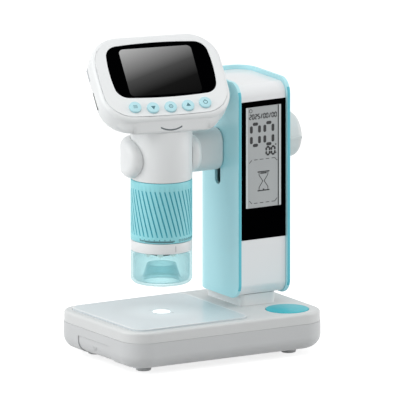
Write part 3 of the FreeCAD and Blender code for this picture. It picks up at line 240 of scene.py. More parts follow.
def lampPlastic(name, look):
    # Opal acrylic with the lamp on behind it: an even white glow, softer at the rim.
    material, tree, spot = startMaterial(name)
    noise = addNode(tree, "ShaderNodeTexNoise", {"Vector": spot, "Scale": 1 / (look["grainMm"] * mm)})
    glow = addNode(tree, "ShaderNodeMapRange", {"Value": noise.outputs["Fac"], "To Min": look["glow"] * 0.95,
                                                "To Max": look["glow"] * 1.05})
    shader = addNode(tree, "ShaderNodeBsdfPrincipled", {
        "Base Color": linear(look["colour"]), "Roughness": 0.3, "Emission Color": linear(look["colour"]),
        "Emission Strength": glow.outputs["Result"]})
    finishMaterial(tree, shader.outputs["BSDF"])
    return material


finishes = {
    "whiteAbs": {"colour": "#f0f2f3", "second": "#ecefef", "driftMm": 40, "relief": 0.02, "rough": 0.36},
    "baseAbs": {"colour": "#dfe1e1", "second": "#dbdddd", "driftMm": 40, "relief": 0.02, "rough": 0.38},
    # The lower shell's grey is the base grey darkened: painted shade on the lower band of the base.
    "trayAbs": {"colour": "#d3d5d6", "second": "#cfd1d2", "driftMm": 40, "relief": 0.02, "rough": 0.38},
    # The knob's grey is the white ABS darkened: painted shade for a knob that sits in shade.
    "knobAbs": {"colour": "#e3e7e7", "second": "#dee3e3", "driftMm": 20, "relief": 0.02, "rough": 0.38},
    "frontAbs": {"colour": "#f6f8f9", "second": "#f2f4f6", "driftMm": 40, "relief": 0.01, "rough": 0.3, "coat": 0.5},
    "cyanAbs": {"colour": "#c4f4fb", "second": "#b8f0f8", "driftMm": 50, "relief": 0.02, "rough": 0.34},
    # The deeper cyan on the side walls' front edges is painted shade, not a second plastic.
    "cyanEdge": {"colour": "#68cede", "second": "#5ec6d8", "driftMm": 50, "relief": 0.02, "rough": 0.34},
    # The darker cyan in the focus ring's grooves is painted shade.
    "cyanGroove": {"colour": "#52bccb", "second": "#48b4c4", "driftMm": 25, "grainMm": 0.8, "relief": 0.03,
                   "rough": 0.5},
    "cyanGrip": {"colour": "#9ce3ea", "second": "#8edce5", "driftMm": 25, "grainMm": 0.8, "relief": 0.03,
                 "rough": 0.42},
    "cyanKey": {"colour": "#b9e6ee", "second": "#b2e2eb", "driftMm": 10, "grainMm": 0.6, "relief": 0.02, "rough": 0.3,
                "coat": 0.4},
    "cyanButton": {"colour": "#22c2cf", "second": "#1ab4c4", "driftMm": 4, "grainMm": 1.4, "relief": 0.12,
                   "rough": 0.4},
    "blackAbs": {"colour": "#161718", "second": "#1b1c1d", "driftMm": 15, "grainMm": 0.7, "relief": 0.03,
                 "rough": 0.55},
    "rubber": {"colour": "#dcdedf", "second": "#d5d7d8", "driftMm": 6, "grainMm": 0.6, "relief": 0.08, "rough": 0.7},
    "blackChip": {"colour": "#1d1e20", "second": "#232427", "driftMm": 3, "grainMm": 0.4, "relief": 0.05,
                  "rough": 0.5},
    "cellWrap": {"colour": "#3f7488", "second": "#386a7d", "driftMm": 12, "grainMm": 1.0, "relief": 0.02,
                 "rough": 0.28},
}
commonGrain = 0.9
mat = {name: mouldedAbs(name, {"grainMm": commonGrain} | look) for name, look in finishes.items()}
mat["clearPc"] = clearPlastic("clearPolycarbonate", {"colour": "#ecf8f9", "milk": "#c4e6eb", "rough": 0.1,
                                                     "grainMm": 12, "ior": 1.45, "body": 0.06, "edge": 0.5})
mat["lensGlass"] = clearPlastic("coatedLensGlass", {"colour": "#e4f2f6", "milk": "#c9d6dc", "rough": 0.05,
                                                    "grainMm": 8, "ior": 1.52, "body": 0.1, "edge": 0.6})
mat["blackGlass"] = printedGlass("backPrintedGlass", {"colour": "#010102", "second": "#020203", "driftMm": 30,
                                                      "rough": 0.06, "shine": 0.0})
mat["lcdGlass"] = printedGlass("reflectiveLcd", {"colour": "#bcc0c0", "second": "#b7bbbd", "driftMm": 18,
                                                 "rough": 0.32, "shine": 0.4})
mat["lcdRim"] = printedGlass("lcdRim", {"colour": "#dfe5e6", "second": "#d6dcde", "driftMm": 9, "rough": 0.3,
                                        "shine": 0.4})
mat["steel"] = turnedSteel("zincPlatedSteel", {"colour": "#b9bcc0", "grainMm": 0.4, "rough": 0.34})
mat["board"] = solderMask("solderMask", {"colour": "#1f6a47", "track": "#2f8259", "trackMm": 2.2})
mat["lcdInk"] = printInk("lcdSegment", {"colour": "#101214", "second": "#1a1d1f", "driftMm": 4, "rough": 0.4})
mat["lcdFine"] = printInk("lcdFineSegment", {"colour": "#1a1d1f", "second": "#24282a", "driftMm": 4, "rough": 0.4})
# The dark grey in the chin's groove is painted shade, not printed ink.
mat["grooveInk"] = printInk("shadedGroove", {"colour": "#5f686c", "second": "#697276", "driftMm": 5, "rough": 0.6})
mat["greyInk"] = printInk("greyPadPrint", {"colour": "#8b9194", "second": "#979da0", "driftMm": 3, "rough": 0.6})
mat["scaleInk"] = printInk("scalePadPrint", {"colour": "#35575f", "second": "#40646d", "driftMm": 3, "rough": 0.6})
mat["keyInk"] = printInk("keyPadPrint", {"colour": "#42727c", "second": "#4d7f89", "driftMm": 2, "rough": 0.6})
mat["acrylic"] = litAcrylic("frostedAcrylic", {"colour": "#d6dfe2", "second": "#d2dce0", "driftMm": 35, "grainMm": 0.8,
                                               "relief": 0.03, "rough": 0.3, "coat": 0.15, "glow": 0.16, "glowNear": 5,
                                               "glowFar": 30, "glowColour": "#f4fbfc"})
mat["lamp"] = lampPlastic("opalAcrylic", {"colour": "#fbfefe", "glow": 0.9, "grainMm": 3})
mat["led"] = lampPlastic("ledPackage", {"colour": "#f6f6ee", "glow": 0.35, "grainMm": 1})
materialOfSlot = {
    "white_abs": "whiteAbs", "cyan_abs": "cyanAbs", "frosted_acrylic": "acrylic", "opal_diffuser": "lamp",
    "clear_pc": "clearPc", "black_glass": "blackGlass", "lcd_glass": "lcdGlass", "rubber": "rubber", "steel": "steel",
    "black_abs": "blackAbs", "circuit_board": "board", "component": "blackChip", "white_led": "led",
    "cell_wrap": "cellWrap", "lens_glass": "lensGlass"}
for node, item in nodes.items():
    item.data.materials.clear()
    item.data.materials.append(mat[materialOfSlot[slotOf[node]]])
print("materials:", len(mat))


# Modelling

def softened(bm, radius, angle=35, segments=3, chosen=None):
    # Rounds every edge sharper than an angle.
    edges = [edge for edge in bm.edges if len(edge.link_faces) == 2
             and edge.calc_face_angle(0) > math.radians(angle) and (chosen is None or chosen(edge))]
    bmesh.ops.bevel(bm, geom=edges, offset=radius * mm, segments=segments, profile=0.5, affect="EDGES", material=-1,
                    clamp_overlap=True)


def finished(name, bm, material, body, smooth=32, second=None):
    # A second material, with a test, covers the faces that pass the test.
    if second:
        for side in bm.faces:
            side.material_index = 1 if second[1](side) else 0
    mesh = bpy.data.meshes.new(name)
    bm.to_mesh(mesh)
    bm.free()
    mesh.shade_smooth()
    mesh.set_sharp_from_angle(angle=math.radians(smooth))
    mesh.materials.append(mat[material])
    if second:
        mesh.materials.append(mat[second[0]])
    piece = bpy.data.objects.new(name, mesh)
    bpy.context.scene.collection.objects.link(piece)
    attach(piece, body)
    return piece


def dressed(node, material=None, edge=0.3, smooth=32, angle=35, second=None):
    # A merged copy of a CAD piece with its sharp edges rounded, shown in its place.
    bm = bmesh.new()
    bm.from_mesh(nodes[node].data)
    bmesh.ops.remove_doubles(bm, verts=bm.verts, dist=0.002 * mm)
    bmesh.ops.dissolve_limit(bm, angle_limit=math.radians(0.4), verts=bm.verts, edges=bm.edges, delimit=set())
    if edge:
        softened(bm, edge, angle, 2)
    words = node.split("_")
    title = words[0] + "".join(word.capitalize() for word in words[1:])
    piece = finished(title, bm, material or materialOfSlot[slotOf[node]], bodyOf[node], smooth, second)
    level = piece.modifiers.new("evenShading", "WEIGHTED_NORMAL")
    level.keep_sharp = True
    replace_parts(piece, node)
    return piece


def spunProfile(bm, place, profile, steps=128):
    # Turns a closed outline of radius and height about a place's own upright axis.
    corners = [bm.verts.new((radius * mm, 0, height * mm)) for radius, height in profile]
    edges = [bm.edges.new((corners[at], corners[(at + 1) % len(corners)])) for at in range(len(corners))
             if not (profile[at][0] == 0 and profile[(at + 1) % len(corners)][0] == 0)]
    bmesh.ops.spin(bm, geom=corners + edges, cent=(0, 0, 0), axis=(0, 0, 1), angle=2 * math.pi, steps=steps,
                   use_merge=True)
    bmesh.ops.remove_doubles(bm, verts=bm.verts, dist=0.001 * mm)
    bmesh.ops.recalc_face_normals(bm, faces=bm.faces)
    bmesh.ops.transform(bm, matrix=place, verts=bm.verts)


def spun(name, node, material, place, profile, edge, steps=128, angle=35, segments=3):
    # A turned piece with rounded edges, shown in place of its CAD piece.
    bm = bmesh.new()
    spunProfile(bm, Matrix.Identity(4), profile, steps)
    softened(bm, edge, angle, segments)
    bmesh.ops.transform(bm, matrix=place, verts=bm.verts)
    piece = finished(name, bm, material, bodyOf[node])
    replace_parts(piece, node)
    return piece


def bar(bm, place, start, end, width, thick=0.06, ends=0.0):
    # A thin printed bar between two points of a plane, its ends pointed by a share of its width.
    first, last = Vector(start), Vector(end)
    run = last - first
    made = bmesh.ops.create_cube(bm, size=1.0)
    slope = math.degrees(math.atan2(run.y, run.x))
    if ends:
        corners = [edge for edge in {edge for vert in made["verts"] for edge in vert.link_edges}
                   if abs(edge.verts[0].co.z - edge.verts[1].co.z) > 0.5]
        shape = Matrix.Diagonal((run.length / width, 1, 1, 1))
        bmesh.ops.transform(bm, matrix=shape, verts=made["verts"])
        cut = bmesh.ops.bevel(bm, geom=corners, offset=ends, segments=2, profile=0.5, affect="EDGES", material=-1,
                              clamp_overlap=True)
        verts = list({vert for side in cut["faces"] for vert in side.verts} | {v for v in made["verts"] if v.is_valid})
        size = Matrix.Diagonal((width * mm, width * mm, thick * mm, 1))
    else:
        verts = made["verts"]
        size = Matrix.Diagonal((run.length * mm, width * mm, thick * mm, 1))
    middle = (first + last) / 2
    centre = place @ moved(middle.x, middle.y, thick / 2)
    bmesh.ops.transform(bm, matrix=centre @ turned(slope, "Z") @ size, verts=verts)


def ringMark(bm, place, radius, width, thick=0.06, steps=32):
    # A flat printed ring; radius is that of its middle line.
    mark = bmesh.new()
    spunProfile(mark, place, [(radius - width / 2, 0), (radius + width / 2, 0), (radius + width / 2, thick),
                              (radius - width / 2, thick)], steps)
    joinedInto(bm, mark)


def joinedInto(bm, other):
    # Moves the other mesh's faces into the first one.
    held = bpy.data.meshes.new("held")
    other.to_mesh(held)
    other.free()
    bm.from_mesh(held)
    bpy.data.meshes.remove(held)


def disc(bm, place, radius, thick=0.06, sides=24, turn=0):
    # A flat printed disc, or a triangle with three sides.
    bmesh.ops.create_cone(bm, cap_ends=True, segments=sides, radius1=radius * mm, radius2=radius * mm, depth=thick * mm,
                          matrix=place @ moved(0, 0, thick / 2) @ turned(turn, "Z"))


# Base

baseLook = {"seamEdge": 0.05, "doorEdge": 0.05, "plateEdge": 0.25, "pedestalEdge": 0.3}
# The lower shell and battery door take the darker copy of the base grey: painted shade.
dressed("base_bottom_shell", "trayAbs", baseLook["seamEdge"])
dressed("base_top_shell", "baseAbs", baseLook["seamEdge"])
dressed("battery_door", "trayAbs", baseLook["doorEdge"])
dressed("stage_plate", "acrylic", baseLook["plateEdge"])
dressed("pedestal", "whiteAbs", baseLook["pedestalEdge"])

footLook = {"x": 54.5, "y": 30, "radius": 5, "top": 5.2, "edge": 1.1, "edgeAngle": 50, "edgeSteps": 4, "steps": 48}
bm = bmesh.new()
for signX, signY in ((-1, -1), (-1, 1), (1, -1), (1, 1)):
    foot = bmesh.new()
    spunProfile(foot, Matrix.Identity(4), [(0, 0), (footLook["radius"], 0), (footLook["radius"], footLook["top"]),
                                           (0, footLook["top"])], footLook["steps"])
    softened(foot, footLook["edge"], footLook["edgeAngle"], footLook["edgeSteps"])
    bmesh.ops.transform(foot, matrix=stand @ moved(signX * footLook["x"], signY * footLook["y"], 0), verts=foot.verts)
    joinedInto(bm, foot)
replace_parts(finished("rubberFeet", bm, "rubber", "stand"), "rubber_feet")

doorMark = {"left": -73.4, "width": 0.7, "reach": 2.4, "z": 9.6, "rise": 0.12}
bm = bmesh.new()
doorPlace = moved(site["standX"] + doorMark["left"], 0, doorMark["z"]) @ turned(-90, "Y")
for side in (-1, 1):
    bar(bm, doorPlace, (0, 0), (doorMark["reach"], side * doorMark["reach"]), doorMark["width"], doorMark["rise"])
finished("doorArrow", bm, "trayAbs", "battery_door")

# The white band round the stage plate's edge is a painted highlight on the plate's raised rim.
rimLook = {"middleX": -24.4, "halfX": 42.4, "halfY": 43.6, "corner": 8.4, "width": 1.3, "rise": 0.05, "steps": 6}
rimPlace = stand @ moved(rimLook["middleX"], 0, site["plateTop"])
stops = []
for signX, signY, first in ((1, 1, 0), (-1, 1, 90), (-1, -1, 180), (1, -1, 270)):
    for step in range(rimLook["steps"] + 1):
        angle = math.radians(first + 90 * step / rimLook["steps"])
        stops.append((signX * (rimLook["halfX"] - rimLook["corner"]) + rimLook["corner"] * math.cos(angle),
                      signY * (rimLook["halfY"] - rimLook["corner"]) + rimLook["corner"] * math.sin(angle)))
bm = bmesh.new()
for first, last in zip(stops, stops[1:] + stops[:1]):
    bar(bm, rimPlace, first, last, rimLook["width"], rimLook["rise"])
finished("plateRim", bm, "frontAbs", "stand")

stageMarks = {"count": 4, "turn": 45, "tick": 1.7, "from": 7.2, "width": 0.35, "rise": 0.03}
lampPlace = tube @ moved(0, 0, site["plateTop"])
bm = bmesh.new()
for number in range(stageMarks["count"]):
    spoke = lampPlace @ turned(stageMarks["turn"] + 360 / stageMarks["count"] * number, "Z")
    bar(bm, spoke, (stageMarks["from"], 0), (stageMarks["from"] + stageMarks["tick"], 0), stageMarks["width"],
        stageMarks["rise"])
finished("stageTicks", bm, "greyInk", "stand")
print("base done")


# Column, clock window and clock

columnLook = {"frontY": -18, "band": 1, "edge": 0.6, "coreEdge": 0.4, "windowEdge": 0.1, "facing": -0.6}


def onFrontEdge(side):
    # True for the narrow front faces of the two side walls, which take a darker cyan as painted shade.
    return (side.normal.y < columnLook["facing"]
            and side.calc_center_median().y < (columnLook["frontY"] + columnLook["band"]) * mm)


dressed("column_shell", None, columnLook["edge"], second=("cyanEdge", onFrontEdge))
dressed("column_front", "frontAbs", columnLook["coreEdge"])
dressed("clock_window", None, columnLook["windowEdge"])

clockLook = {"width": 26.3, "tall": 66.5, "rim": 1.3, "rimInset": 0.1, "rimRise": 0.04, "line": 0.8, "lineX": 24.25,
             "lineInset": 0.2, "lineRise": 0.05}


def uprightBar(bm, x, inset, width, rise):
    # A bar over the whole height of the clock's display.
    bar(bm, lcd, (x, -inset), (x, inset - clockLook["tall"]), width, rise)


bm = bmesh.new()
for x in (clockLook["rim"] / 2, clockLook["width"] - clockLook["rim"] / 2 - clockLook["rimInset"]):
    uprightBar(bm, x, clockLook["rimInset"], clockLook["rim"], clockLook["rimRise"])
finished("clockRims", bm, "lcdRim", "stand")

segmentsOf = {"0": "abcdef", "2": "abged", "5": "afgcd"}
segmentLook = {"rise": 0.06, "point": 0.42}


def digit(bm, shown, left, look):
    # Seven-segment digit; its left and top are the centres of its outer bars.
    top, width, tall = look["top"], look["width"], look["tall"]
    middle = top - tall / 2
    ends = {"a": ((left, top), (left + width, top)), "g": ((left, middle), (left + width, middle)),
            "d": ((left, top - tall), (left + width, top - tall)), "f": ((left, middle), (left, top)),
            "e": ((left, top - tall), (left, middle)), "b": ((left + width, middle), (left + width, top)),
            "c": ((left + width, top - tall), (left + width, middle))}
    for letter in segmentsOf[shown]:
        first, last = Vector(ends[letter][0]), Vector(ends[letter][1])
        step = (last - first).normalized() * look["gap"]
        bar(bm, lcd, first + step, last - step, look["thick"], segmentLook["rise"], segmentLook["point"])


bigDigits = {"places": (4.0, 14.1), "top": -11.3, "width": 6.1, "tall": 14.0, "thick": 2.1, "gap": 1.1}
smallDigits = {"places": (15.2, 19.1), "top": -27.3, "width": 2.5, "tall": 5.0, "thick": 1.3, "gap": 0.2}
dateLine = {"shown": "2025/00/00", "left": 2.6, "pitch": 2.1, "top": -4.9, "width": 1.3, "tall": 3.0, "thick": 0.7,
            "gap": 0.08, "slash": (0.2, 1.1)}
bm = bmesh.new()
for look in (bigDigits, smallDigits):
    for left in look["places"]:
        digit(bm, "0", left, look)
finished("clockDigits", bm, "lcdInk", "stand")
bm = bmesh.new()
for number, shown in enumerate(dateLine["shown"]):
    left = dateLine["left"] + number * dateLine["pitch"]
    if shown == "/":
        low, high = dateLine["slash"]
        bar(bm, lcd, (left + low, dateLine["top"] - dateLine["tall"]), (left + high, dateLine["top"]),
            dateLine["thick"])
    else:
        digit(bm, shown, left, dateLine)

smallMarks = {"ring": (3.5, -2.4), "ringRadius": 1.1, "ringWidth": 0.35, "dot": (22.3, -26.1), "dotRadius": 0.5,
              "dash": ((21.9, -31.9), (22.9, -31.4)), "dashWidth": 0.5}
ringMark(bm, lcd @ moved(*smallMarks["ring"], 0), smallMarks["ringRadius"], smallMarks["ringWidth"])
disc(bm, lcd @ moved(*smallMarks["dot"], 0), smallMarks["dotRadius"])
bar(bm, lcd, *smallMarks["dash"], smallMarks["dashWidth"])

hourglass = {"middle": 13.1, "top": -43.1, "bottom": -55.5, "cap": 4.5, "capWidth": 0.75, "capRise": 0.06,
             "capPoint": 0.3, "bulb": 3.3, "shoulder": 2.2, "waist": 0.5, "line": 0.45, "sandRise": 0.05}
# The sand above and below: the level of its middle, half its length and its width.
sand = ((hourglass["top"] - 1.0, 2.4, 0.9), (hourglass["bottom"] + 0.7, 0.6, 0.8))
middle, top, bottom = hourglass["middle"], hourglass["top"], hourglass["bottom"]
waist = (top + bottom) / 2
for level in (top, bottom):
    bar(bm, lcd, (middle - hourglass["cap"], level), (middle + hourglass["cap"], level), hourglass["capWidth"],
        hourglass["capRise"], hourglass["capPoint"])
for side in (-1, 1):
    bulb, neck = middle + side * hourglass["bulb"], middle + side * hourglass["waist"]
    line = [(bulb, top), (bulb, top - hourglass["shoulder"]), (neck, waist), (bulb, bottom + hourglass["shoulder"]),
            (bulb, bottom)]
    for first, last in zip(line, line[1:]):
        bar(bm, lcd, first, last, hourglass["line"])
for level, half, width in sand:
    bar(bm, lcd, (middle - half, level), (middle + half, level), width, hourglass["sandRise"])

frameMarks = {"left": 2.4, "right": 23.4, "top": -34.9, "bottom": -63.5, "corner": 1.9, "dash": 2.6, "line": 0.4,
              "dashes": 4, "firstDash": 3.6, "dashPitch": 4.4}
left, right, top, bottom = (frameMarks[key] for key in ("left", "right", "top", "bottom"))
for level, side in ((top, -1), (bottom, 1)):
    for number in range(frameMarks["dashes"]):
        at = left + frameMarks["firstDash"] + number * frameMarks["dashPitch"]
        bar(bm, lcd, (at, level), (at + frameMarks["dash"], level), frameMarks["line"])
    for x, way in ((left, 1), (right, -1)):
        bar(bm, lcd, (x, level + side * frameMarks["corner"]), (x + way * frameMarks["corner"], level),
            frameMarks["line"])
uprightBar(bm, clockLook["lineX"], clockLook["lineInset"], clockLook["line"], clockLook["lineRise"])
finished("clockMarks", bm, "lcdFine", "stand")
print("column done")


# Clip, arm and lock knob

# The lock knob takes the darker copy of the white ABS: painted shade.
carriageLook = {"holder_clip": (None, 0.3), "arm": (None, 0.4), "lock_knob": ("knobAbs", 0.4),
                "knob_washer": (None, 0.15)}
for node, (material, edge) in carriageLook.items():
    dressed(node, material, edge)
print("carriage done")


# Handheld unit

headLook = {"smooth": 48, "bezelEdge": 0.08, "glassEdge": 0.3}
dressed("head_housing", "whiteAbs", 0.0, smooth=headLook["smooth"])
dressed("face_bezel", "whiteAbs", headLook["bezelEdge"])
dressed("display_glass", "blackGlass", headLook["glassEdge"])

displayLook = {"width": 49, "tall": 36.7, "thick": 0.1, "corner": 3.2, "cornerSteps": 8, "along": 0.6, "sunk": -0.06}
bm = bmesh.new()
bmesh.ops.create_cube(bm, size=1.0, matrix=Matrix.Diagonal((
    displayLook["width"] * mm, displayLook["tall"] * mm, displayLook["thick"] * mm, 1)))
upright = [edge for edge in bm.edges
           if abs(edge.verts[0].co.z - edge.verts[1].co.z) > displayLook["thick"] / 2 * mm]
bmesh.ops.bevel(bm, geom=upright, offset=displayLook["corner"] * mm, segments=displayLook["cornerSteps"],
                profile=0.5, affect="EDGES", material=-1)
bmesh.ops.transform(bm, matrix=face @ moved(displayLook["along"], 0, displayLook["sunk"]), verts=bm.verts)
# The panel's grey-to-black gradient is a painted reflection.
mat["panel"] = paintedPanelReflection("switchedOffPanel", {
    "centre": face.translation, "turn": face.to_euler(), "halfWide": 24.5, "halfTall": 18.4,
    "across": 0.32, "down": 0.7,
    "steps": [(0.0, "#bcbcbc"), (0.25, "#8e8e8e"), (0.5, "#484848"), (0.75, "#0c0c0c"), (1.0, "#000000")]})
finished("displayPicture", bm, "panel", "handheld")

slotLook = {"side": -43.95, "low": -19.2, "high": -6.1, "back": -11.65, "width": 1.1, "rise": 0.05}
bm = bmesh.new()
bar(bm, face @ moved(slotLook["side"], 0, slotLook["back"]) @ turned(-90, "Y"), (0, slotLook["low"]),
    (0, slotLook["high"]), slotLook["width"], slotLook["rise"])
finished("cardSlotShade", bm, "blackGlass", "handheld")

# The chin groove is drawn as a dark grey line lying in it: painted shade in the groove.
smile = {"front": -20.9, "middle": 168.1, "radius": 14.3, "span": 30.7, "sunk": -0.2, "width": 0.95, "rise": 0.05,
         "steps": 14}
bm = bmesh.new()
smilePlace = tube @ moved(0, smile["front"], smile["middle"]) @ turned(90, "X") @ moved(0, 0, smile["sunk"])
around = [math.radians(-90 + smile["span"] * (2 * step / smile["steps"] - 1)) for step in range(smile["steps"] + 1)]
stops = [(smile["radius"] * math.cos(angle), smile["radius"] * math.sin(angle)) for angle in around]
for first, last in zip(stops, stops[1:]):
    bar(bm, smilePlace, first, last, smile["width"], smile["rise"])
finished("chinGroove", bm, "grooveInk", "handheld")

barrelLook = {"edge": 0.3, "profile": [
    (7.3, 74.5), (17.6, 74.5), (17.6, 118.2), (20, 118.2), (20, 151.7), (17.6, 151.7), (17.6, 120.6), (15.4, 120.6),
    (15.4, 76.1), (7.3, 76.1)]}
spun("barrel", "barrel", "whiteAbs", tube, barrelLook["profile"], barrelLook["edge"])

indexLook = {"edge": 0.45, "profile": [(17.65, 71.3), (20, 71.3), (20, 78), (17.65, 78)],
             "lineAngle": 9.2, "lineZ": 72.6, "lineTall": 3.9, "lineWidth": 0.32, "lineRise": 0.03}
spun("indexRing", "index_ring", "whiteAbs", tube, indexLook["profile"], indexLook["edge"])

carrierLook = {"edge": 0.3, "steps": 64, "profile": [
    (3.6, 67.6), (7, 67.6), (7, 91.7), (4.6, 91.7), (4.6, 69), (3.6, 69)]}
spun("lensCarrier", "lens_carrier", "blackAbs", tube, carrierLook["profile"], carrierLook["edge"],
     carrierLook["steps"])

lampLook = {"edge": 0.9}
dressed("ring_leds", None, lampLook["edge"])

# The wall, floor and spigot of the clear cap, and the cone that stands on its floor.
capLook = {"edge": 0.2, "profile": [
    (11.6, 49.5), (16.4, 49.5), (17.9, 49.9), (19.1, 50.8), (19.8, 52.1), (20, 53.6), (20, 71), (17.35, 71),
    (17.35, 74), (15.65, 74), (15.65, 69.3), (18.3, 67.6), (18.3, 54.1), (18.0, 52.6), (17.2, 51.6), (16.2, 51.2),
    (12.9, 51.2), (9.4, 61.7), (8.5, 61.4), (11.6, 50.6)]}
spun("clearCap", "clear_cap", "clearPc", tube, capLook["profile"], capLook["edge"])

gripLook = {"radius": 20, "bottom": 78.3, "ribLow": 82.8, "ribHigh": 112.3, "top": 117.9, "bore": 17.65, "count": 40,
            "perRib": 10, "depth": 0.7, "groove": 0.21, "lean": 15, "levels": 12, "ramp": 0.3, "endShare": 0.6,
            "nudge": 0.01, "edge": 0.35, "edgeAngle": 60, "edgeBelow": 78.5, "edgeAbove": 117.5, "leastWall": 0.5,
            "smooth": 50}
bm = bmesh.new()
made = bmesh.ops.create_circle(bm, cap_ends=False, segments=gripLook["count"] * gripLook["perRib"],
                               radius=gripLook["radius"] * mm, matrix=moved(0, 0, gripLook["bottom"]))
ringEdges = list({edge for vert in made["verts"] for edge in vert.link_edges})


def drawUp(bm, edges, rise, turn=0.0):
    # Pulls a ring of edges upwards into a new band and turns its upper end.
    grown = bmesh.ops.extrude_edge_only(bm, edges=edges)["geom"]
    verts = [item for item in grown if isinstance(item, bmesh.types.BMVert)]
    bmesh.ops.transform(bm, matrix=turned(turn, "Z") @ moved(0, 0, rise), verts=verts)
    return [item for item in grown if isinstance(item, bmesh.types.BMEdge)], verts


def roundedOut(verts):
    # Brings points back to the ring's full radius.
    for vert in verts:
        vert.co.xy = vert.co.xy.normalized() * gripLook["radius"] * mm


def grooved(verts, turn, share):
    # Draws in the part of each rib's arc that makes the groove.
    for vert in verts:
        angle = (math.degrees(math.atan2(vert.co.y, vert.co.x)) - turn) % (360 / gripLook["count"])
        if angle < gripLook["groove"] * 360 / gripLook["count"]:
            reach = (gripLook["radius"] - gripLook["depth"] * share) * mm
            vert.co.xy = vert.co.xy.normalized() * reach


def inGroove(side):
    # True for a groove's floor and walls.
    least = min((tube.inverted() @ vert.co).xy.length for vert in side.verts)
    outer = (gripLook["radius"] - gripLook["depth"] / 2) * mm
    return (gripLook["bore"] + gripLook["leastWall"]) * mm < least < outer


def atEnd(edge):
    # True for the edges of the ring's two ends.
    return all(vert.co.z < gripLook["edgeBelow"] * mm or vert.co.z > gripLook["edgeAbove"] * mm
               for vert in edge.verts)


edges, verts = drawUp(bm, ringEdges, gripLook["ribLow"] - gripLook["bottom"] - gripLook["ramp"])
edges, verts = drawUp(bm, edges, gripLook["ramp"])
grooved(verts, gripLook["nudge"], gripLook["endShare"])
run = gripLook["ribHigh"] - gripLook["ribLow"]
twist = -math.degrees(run * math.tan(math.radians(gripLook["lean"])) / gripLook["radius"]) / gripLook["levels"]
for level in range(1, gripLook["levels"] + 1):
    edges, verts = drawUp(bm, edges, run / gripLook["levels"], twist)
    roundedOut(verts)
    grooved(verts, gripLook["nudge"] + twist * level, 1.0 if level < gripLook["levels"] else gripLook["endShare"])
edges, verts = drawUp(bm, edges, gripLook["ramp"])
roundedOut(verts)
edges, verts = drawUp(bm, edges, gripLook["top"] - gripLook["ribHigh"] - gripLook["ramp"])
edges, verts = drawUp(bm, edges, 0.0)
bmesh.ops.scale(bm, vec=(gripLook["bore"] / gripLook["radius"],) * 2 + (1,), verts=verts)
drawUp(bm, edges, gripLook["bottom"] - gripLook["top"])
openEdges = [edge for edge in bm.edges if len(edge.link_faces) == 1]
bmesh.ops.bridge_loops(bm, edges=openEdges)
bmesh.ops.recalc_face_normals(bm, faces=bm.faces)
softened(bm, gripLook["edge"], gripLook["edgeAngle"], 2, atEnd)
bmesh.ops.transform(bm, matrix=tube, verts=bm.verts)
# The groove floors and walls take a darker cyan: painted shade in the grooves.
piece = finished("focusRing", bm, "cyanGrip", "focus_ring", gripLook["smooth"], ("cyanGroove", inGroove))
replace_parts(piece, "focus_ring")


def onTube(angle, height):
    # A small plane on the tube's surface: x runs round it, y up, z outwards. Angle 0 faces the front.
    return tube @ turned(angle, "Z") @ moved(0, -gripLook["radius"], height) @ turned(90, "X")


scaleLook = {"z": 79.3, "first": -62, "last": 6, "count": 35, "every": 5, "short": 1.0, "long": 1.8, "width": 0.42,
             "rise": 0.03, "lineFirst": -50, "lineLast": 4, "lineWidth": 0.55, "lineRise": 0.04, "lineSteps": 18,
             "rings": 8, "ringFirst": 18, "ringPitch": 6, "ringUp": 0.8, "ringRadius": 0.6, "ringWidth": 0.35,
             "ringSteps": 16}
bm = bmesh.new()
for number in range(scaleLook["count"]):
    angle = scaleLook["first"] + (scaleLook["last"] - scaleLook["first"]) * number / (scaleLook["count"] - 1)
    tall = scaleLook["long"] if number % scaleLook["every"] == 0 else scaleLook["short"]
    bar(bm, onTube(angle, scaleLook["z"]), (0, 0), (0, tall), scaleLook["width"], scaleLook["rise"])
lineStep = (scaleLook["lineLast"] - scaleLook["lineFirst"]) / scaleLook["lineSteps"]
halfStep = math.radians(lineStep) * gripLook["radius"] / 2
for number in range(scaleLook["lineSteps"]):
    bar(bm, onTube(scaleLook["lineFirst"] + (number + 0.5) * lineStep, scaleLook["z"]), (-halfStep, 0), (halfStep, 0),
        scaleLook["lineWidth"], scaleLook["lineRise"])
for number in range(scaleLook["rings"]):
    ringMark(bm, onTube(scaleLook["ringFirst"] + number * scaleLook["ringPitch"], scaleLook["z"] + scaleLook["ringUp"]),
             scaleLook["ringRadius"], scaleLook["ringWidth"], scaleLook["rise"], scaleLook["ringSteps"])
finished("focusScale", bm, "scaleInk", "focus_ring")
bm = bmesh.new()
bar(bm, onTube(indexLook["lineAngle"], indexLook["lineZ"]), (0, 0), (0, indexLook["lineTall"]), indexLook["lineWidth"],
    indexLook["lineRise"])
finished("indexLine", bm, "greyInk", "handheld")

keyLook = {"radius": 3.96, "rise": 1.4, "along": 0.5, "pitch": 11.9, "down": 28.7, "outer": 1.5, "inner": 0.1,
           "stem": 1.5, "stemEnd": -5.4, "flange": 4.5, "flangeLow": -3.7, "flangeHigh": -2.9, "edge": 0.55,
           "edgeAngle": 60, "edgeSteps": 4, "steps": 64}
keyProfile = [
    (0, keyLook["stemEnd"]), (keyLook["stem"], keyLook["stemEnd"]), (keyLook["stem"], keyLook["flangeLow"]),
    (keyLook["flange"], keyLook["flangeLow"]), (keyLook["flange"], keyLook["flangeHigh"]),
    (keyLook["radius"], keyLook["flangeHigh"]), (keyLook["radius"], keyLook["rise"]), (0, keyLook["rise"])]
markLook = {"sunk": -0.01, "rise": 0.04, "lines": (-0.9, 0, 0.9), "lineHalf": 1.4, "lineWidth": 0.35,
            "arrow": 1.8, "ring": 1.25, "ringWidth": 0.4, "dot": 0.45, "dotSides": 16, "powerRing": 1.3,
            "powerWidth": 0.42, "powerLow": 0.7, "powerHigh": 2.0, "powerLine": 0.4, "powerRise": 0.05}
keyNames = ("menu_key", "down_key", "confirm_key", "up_key", "power_key")
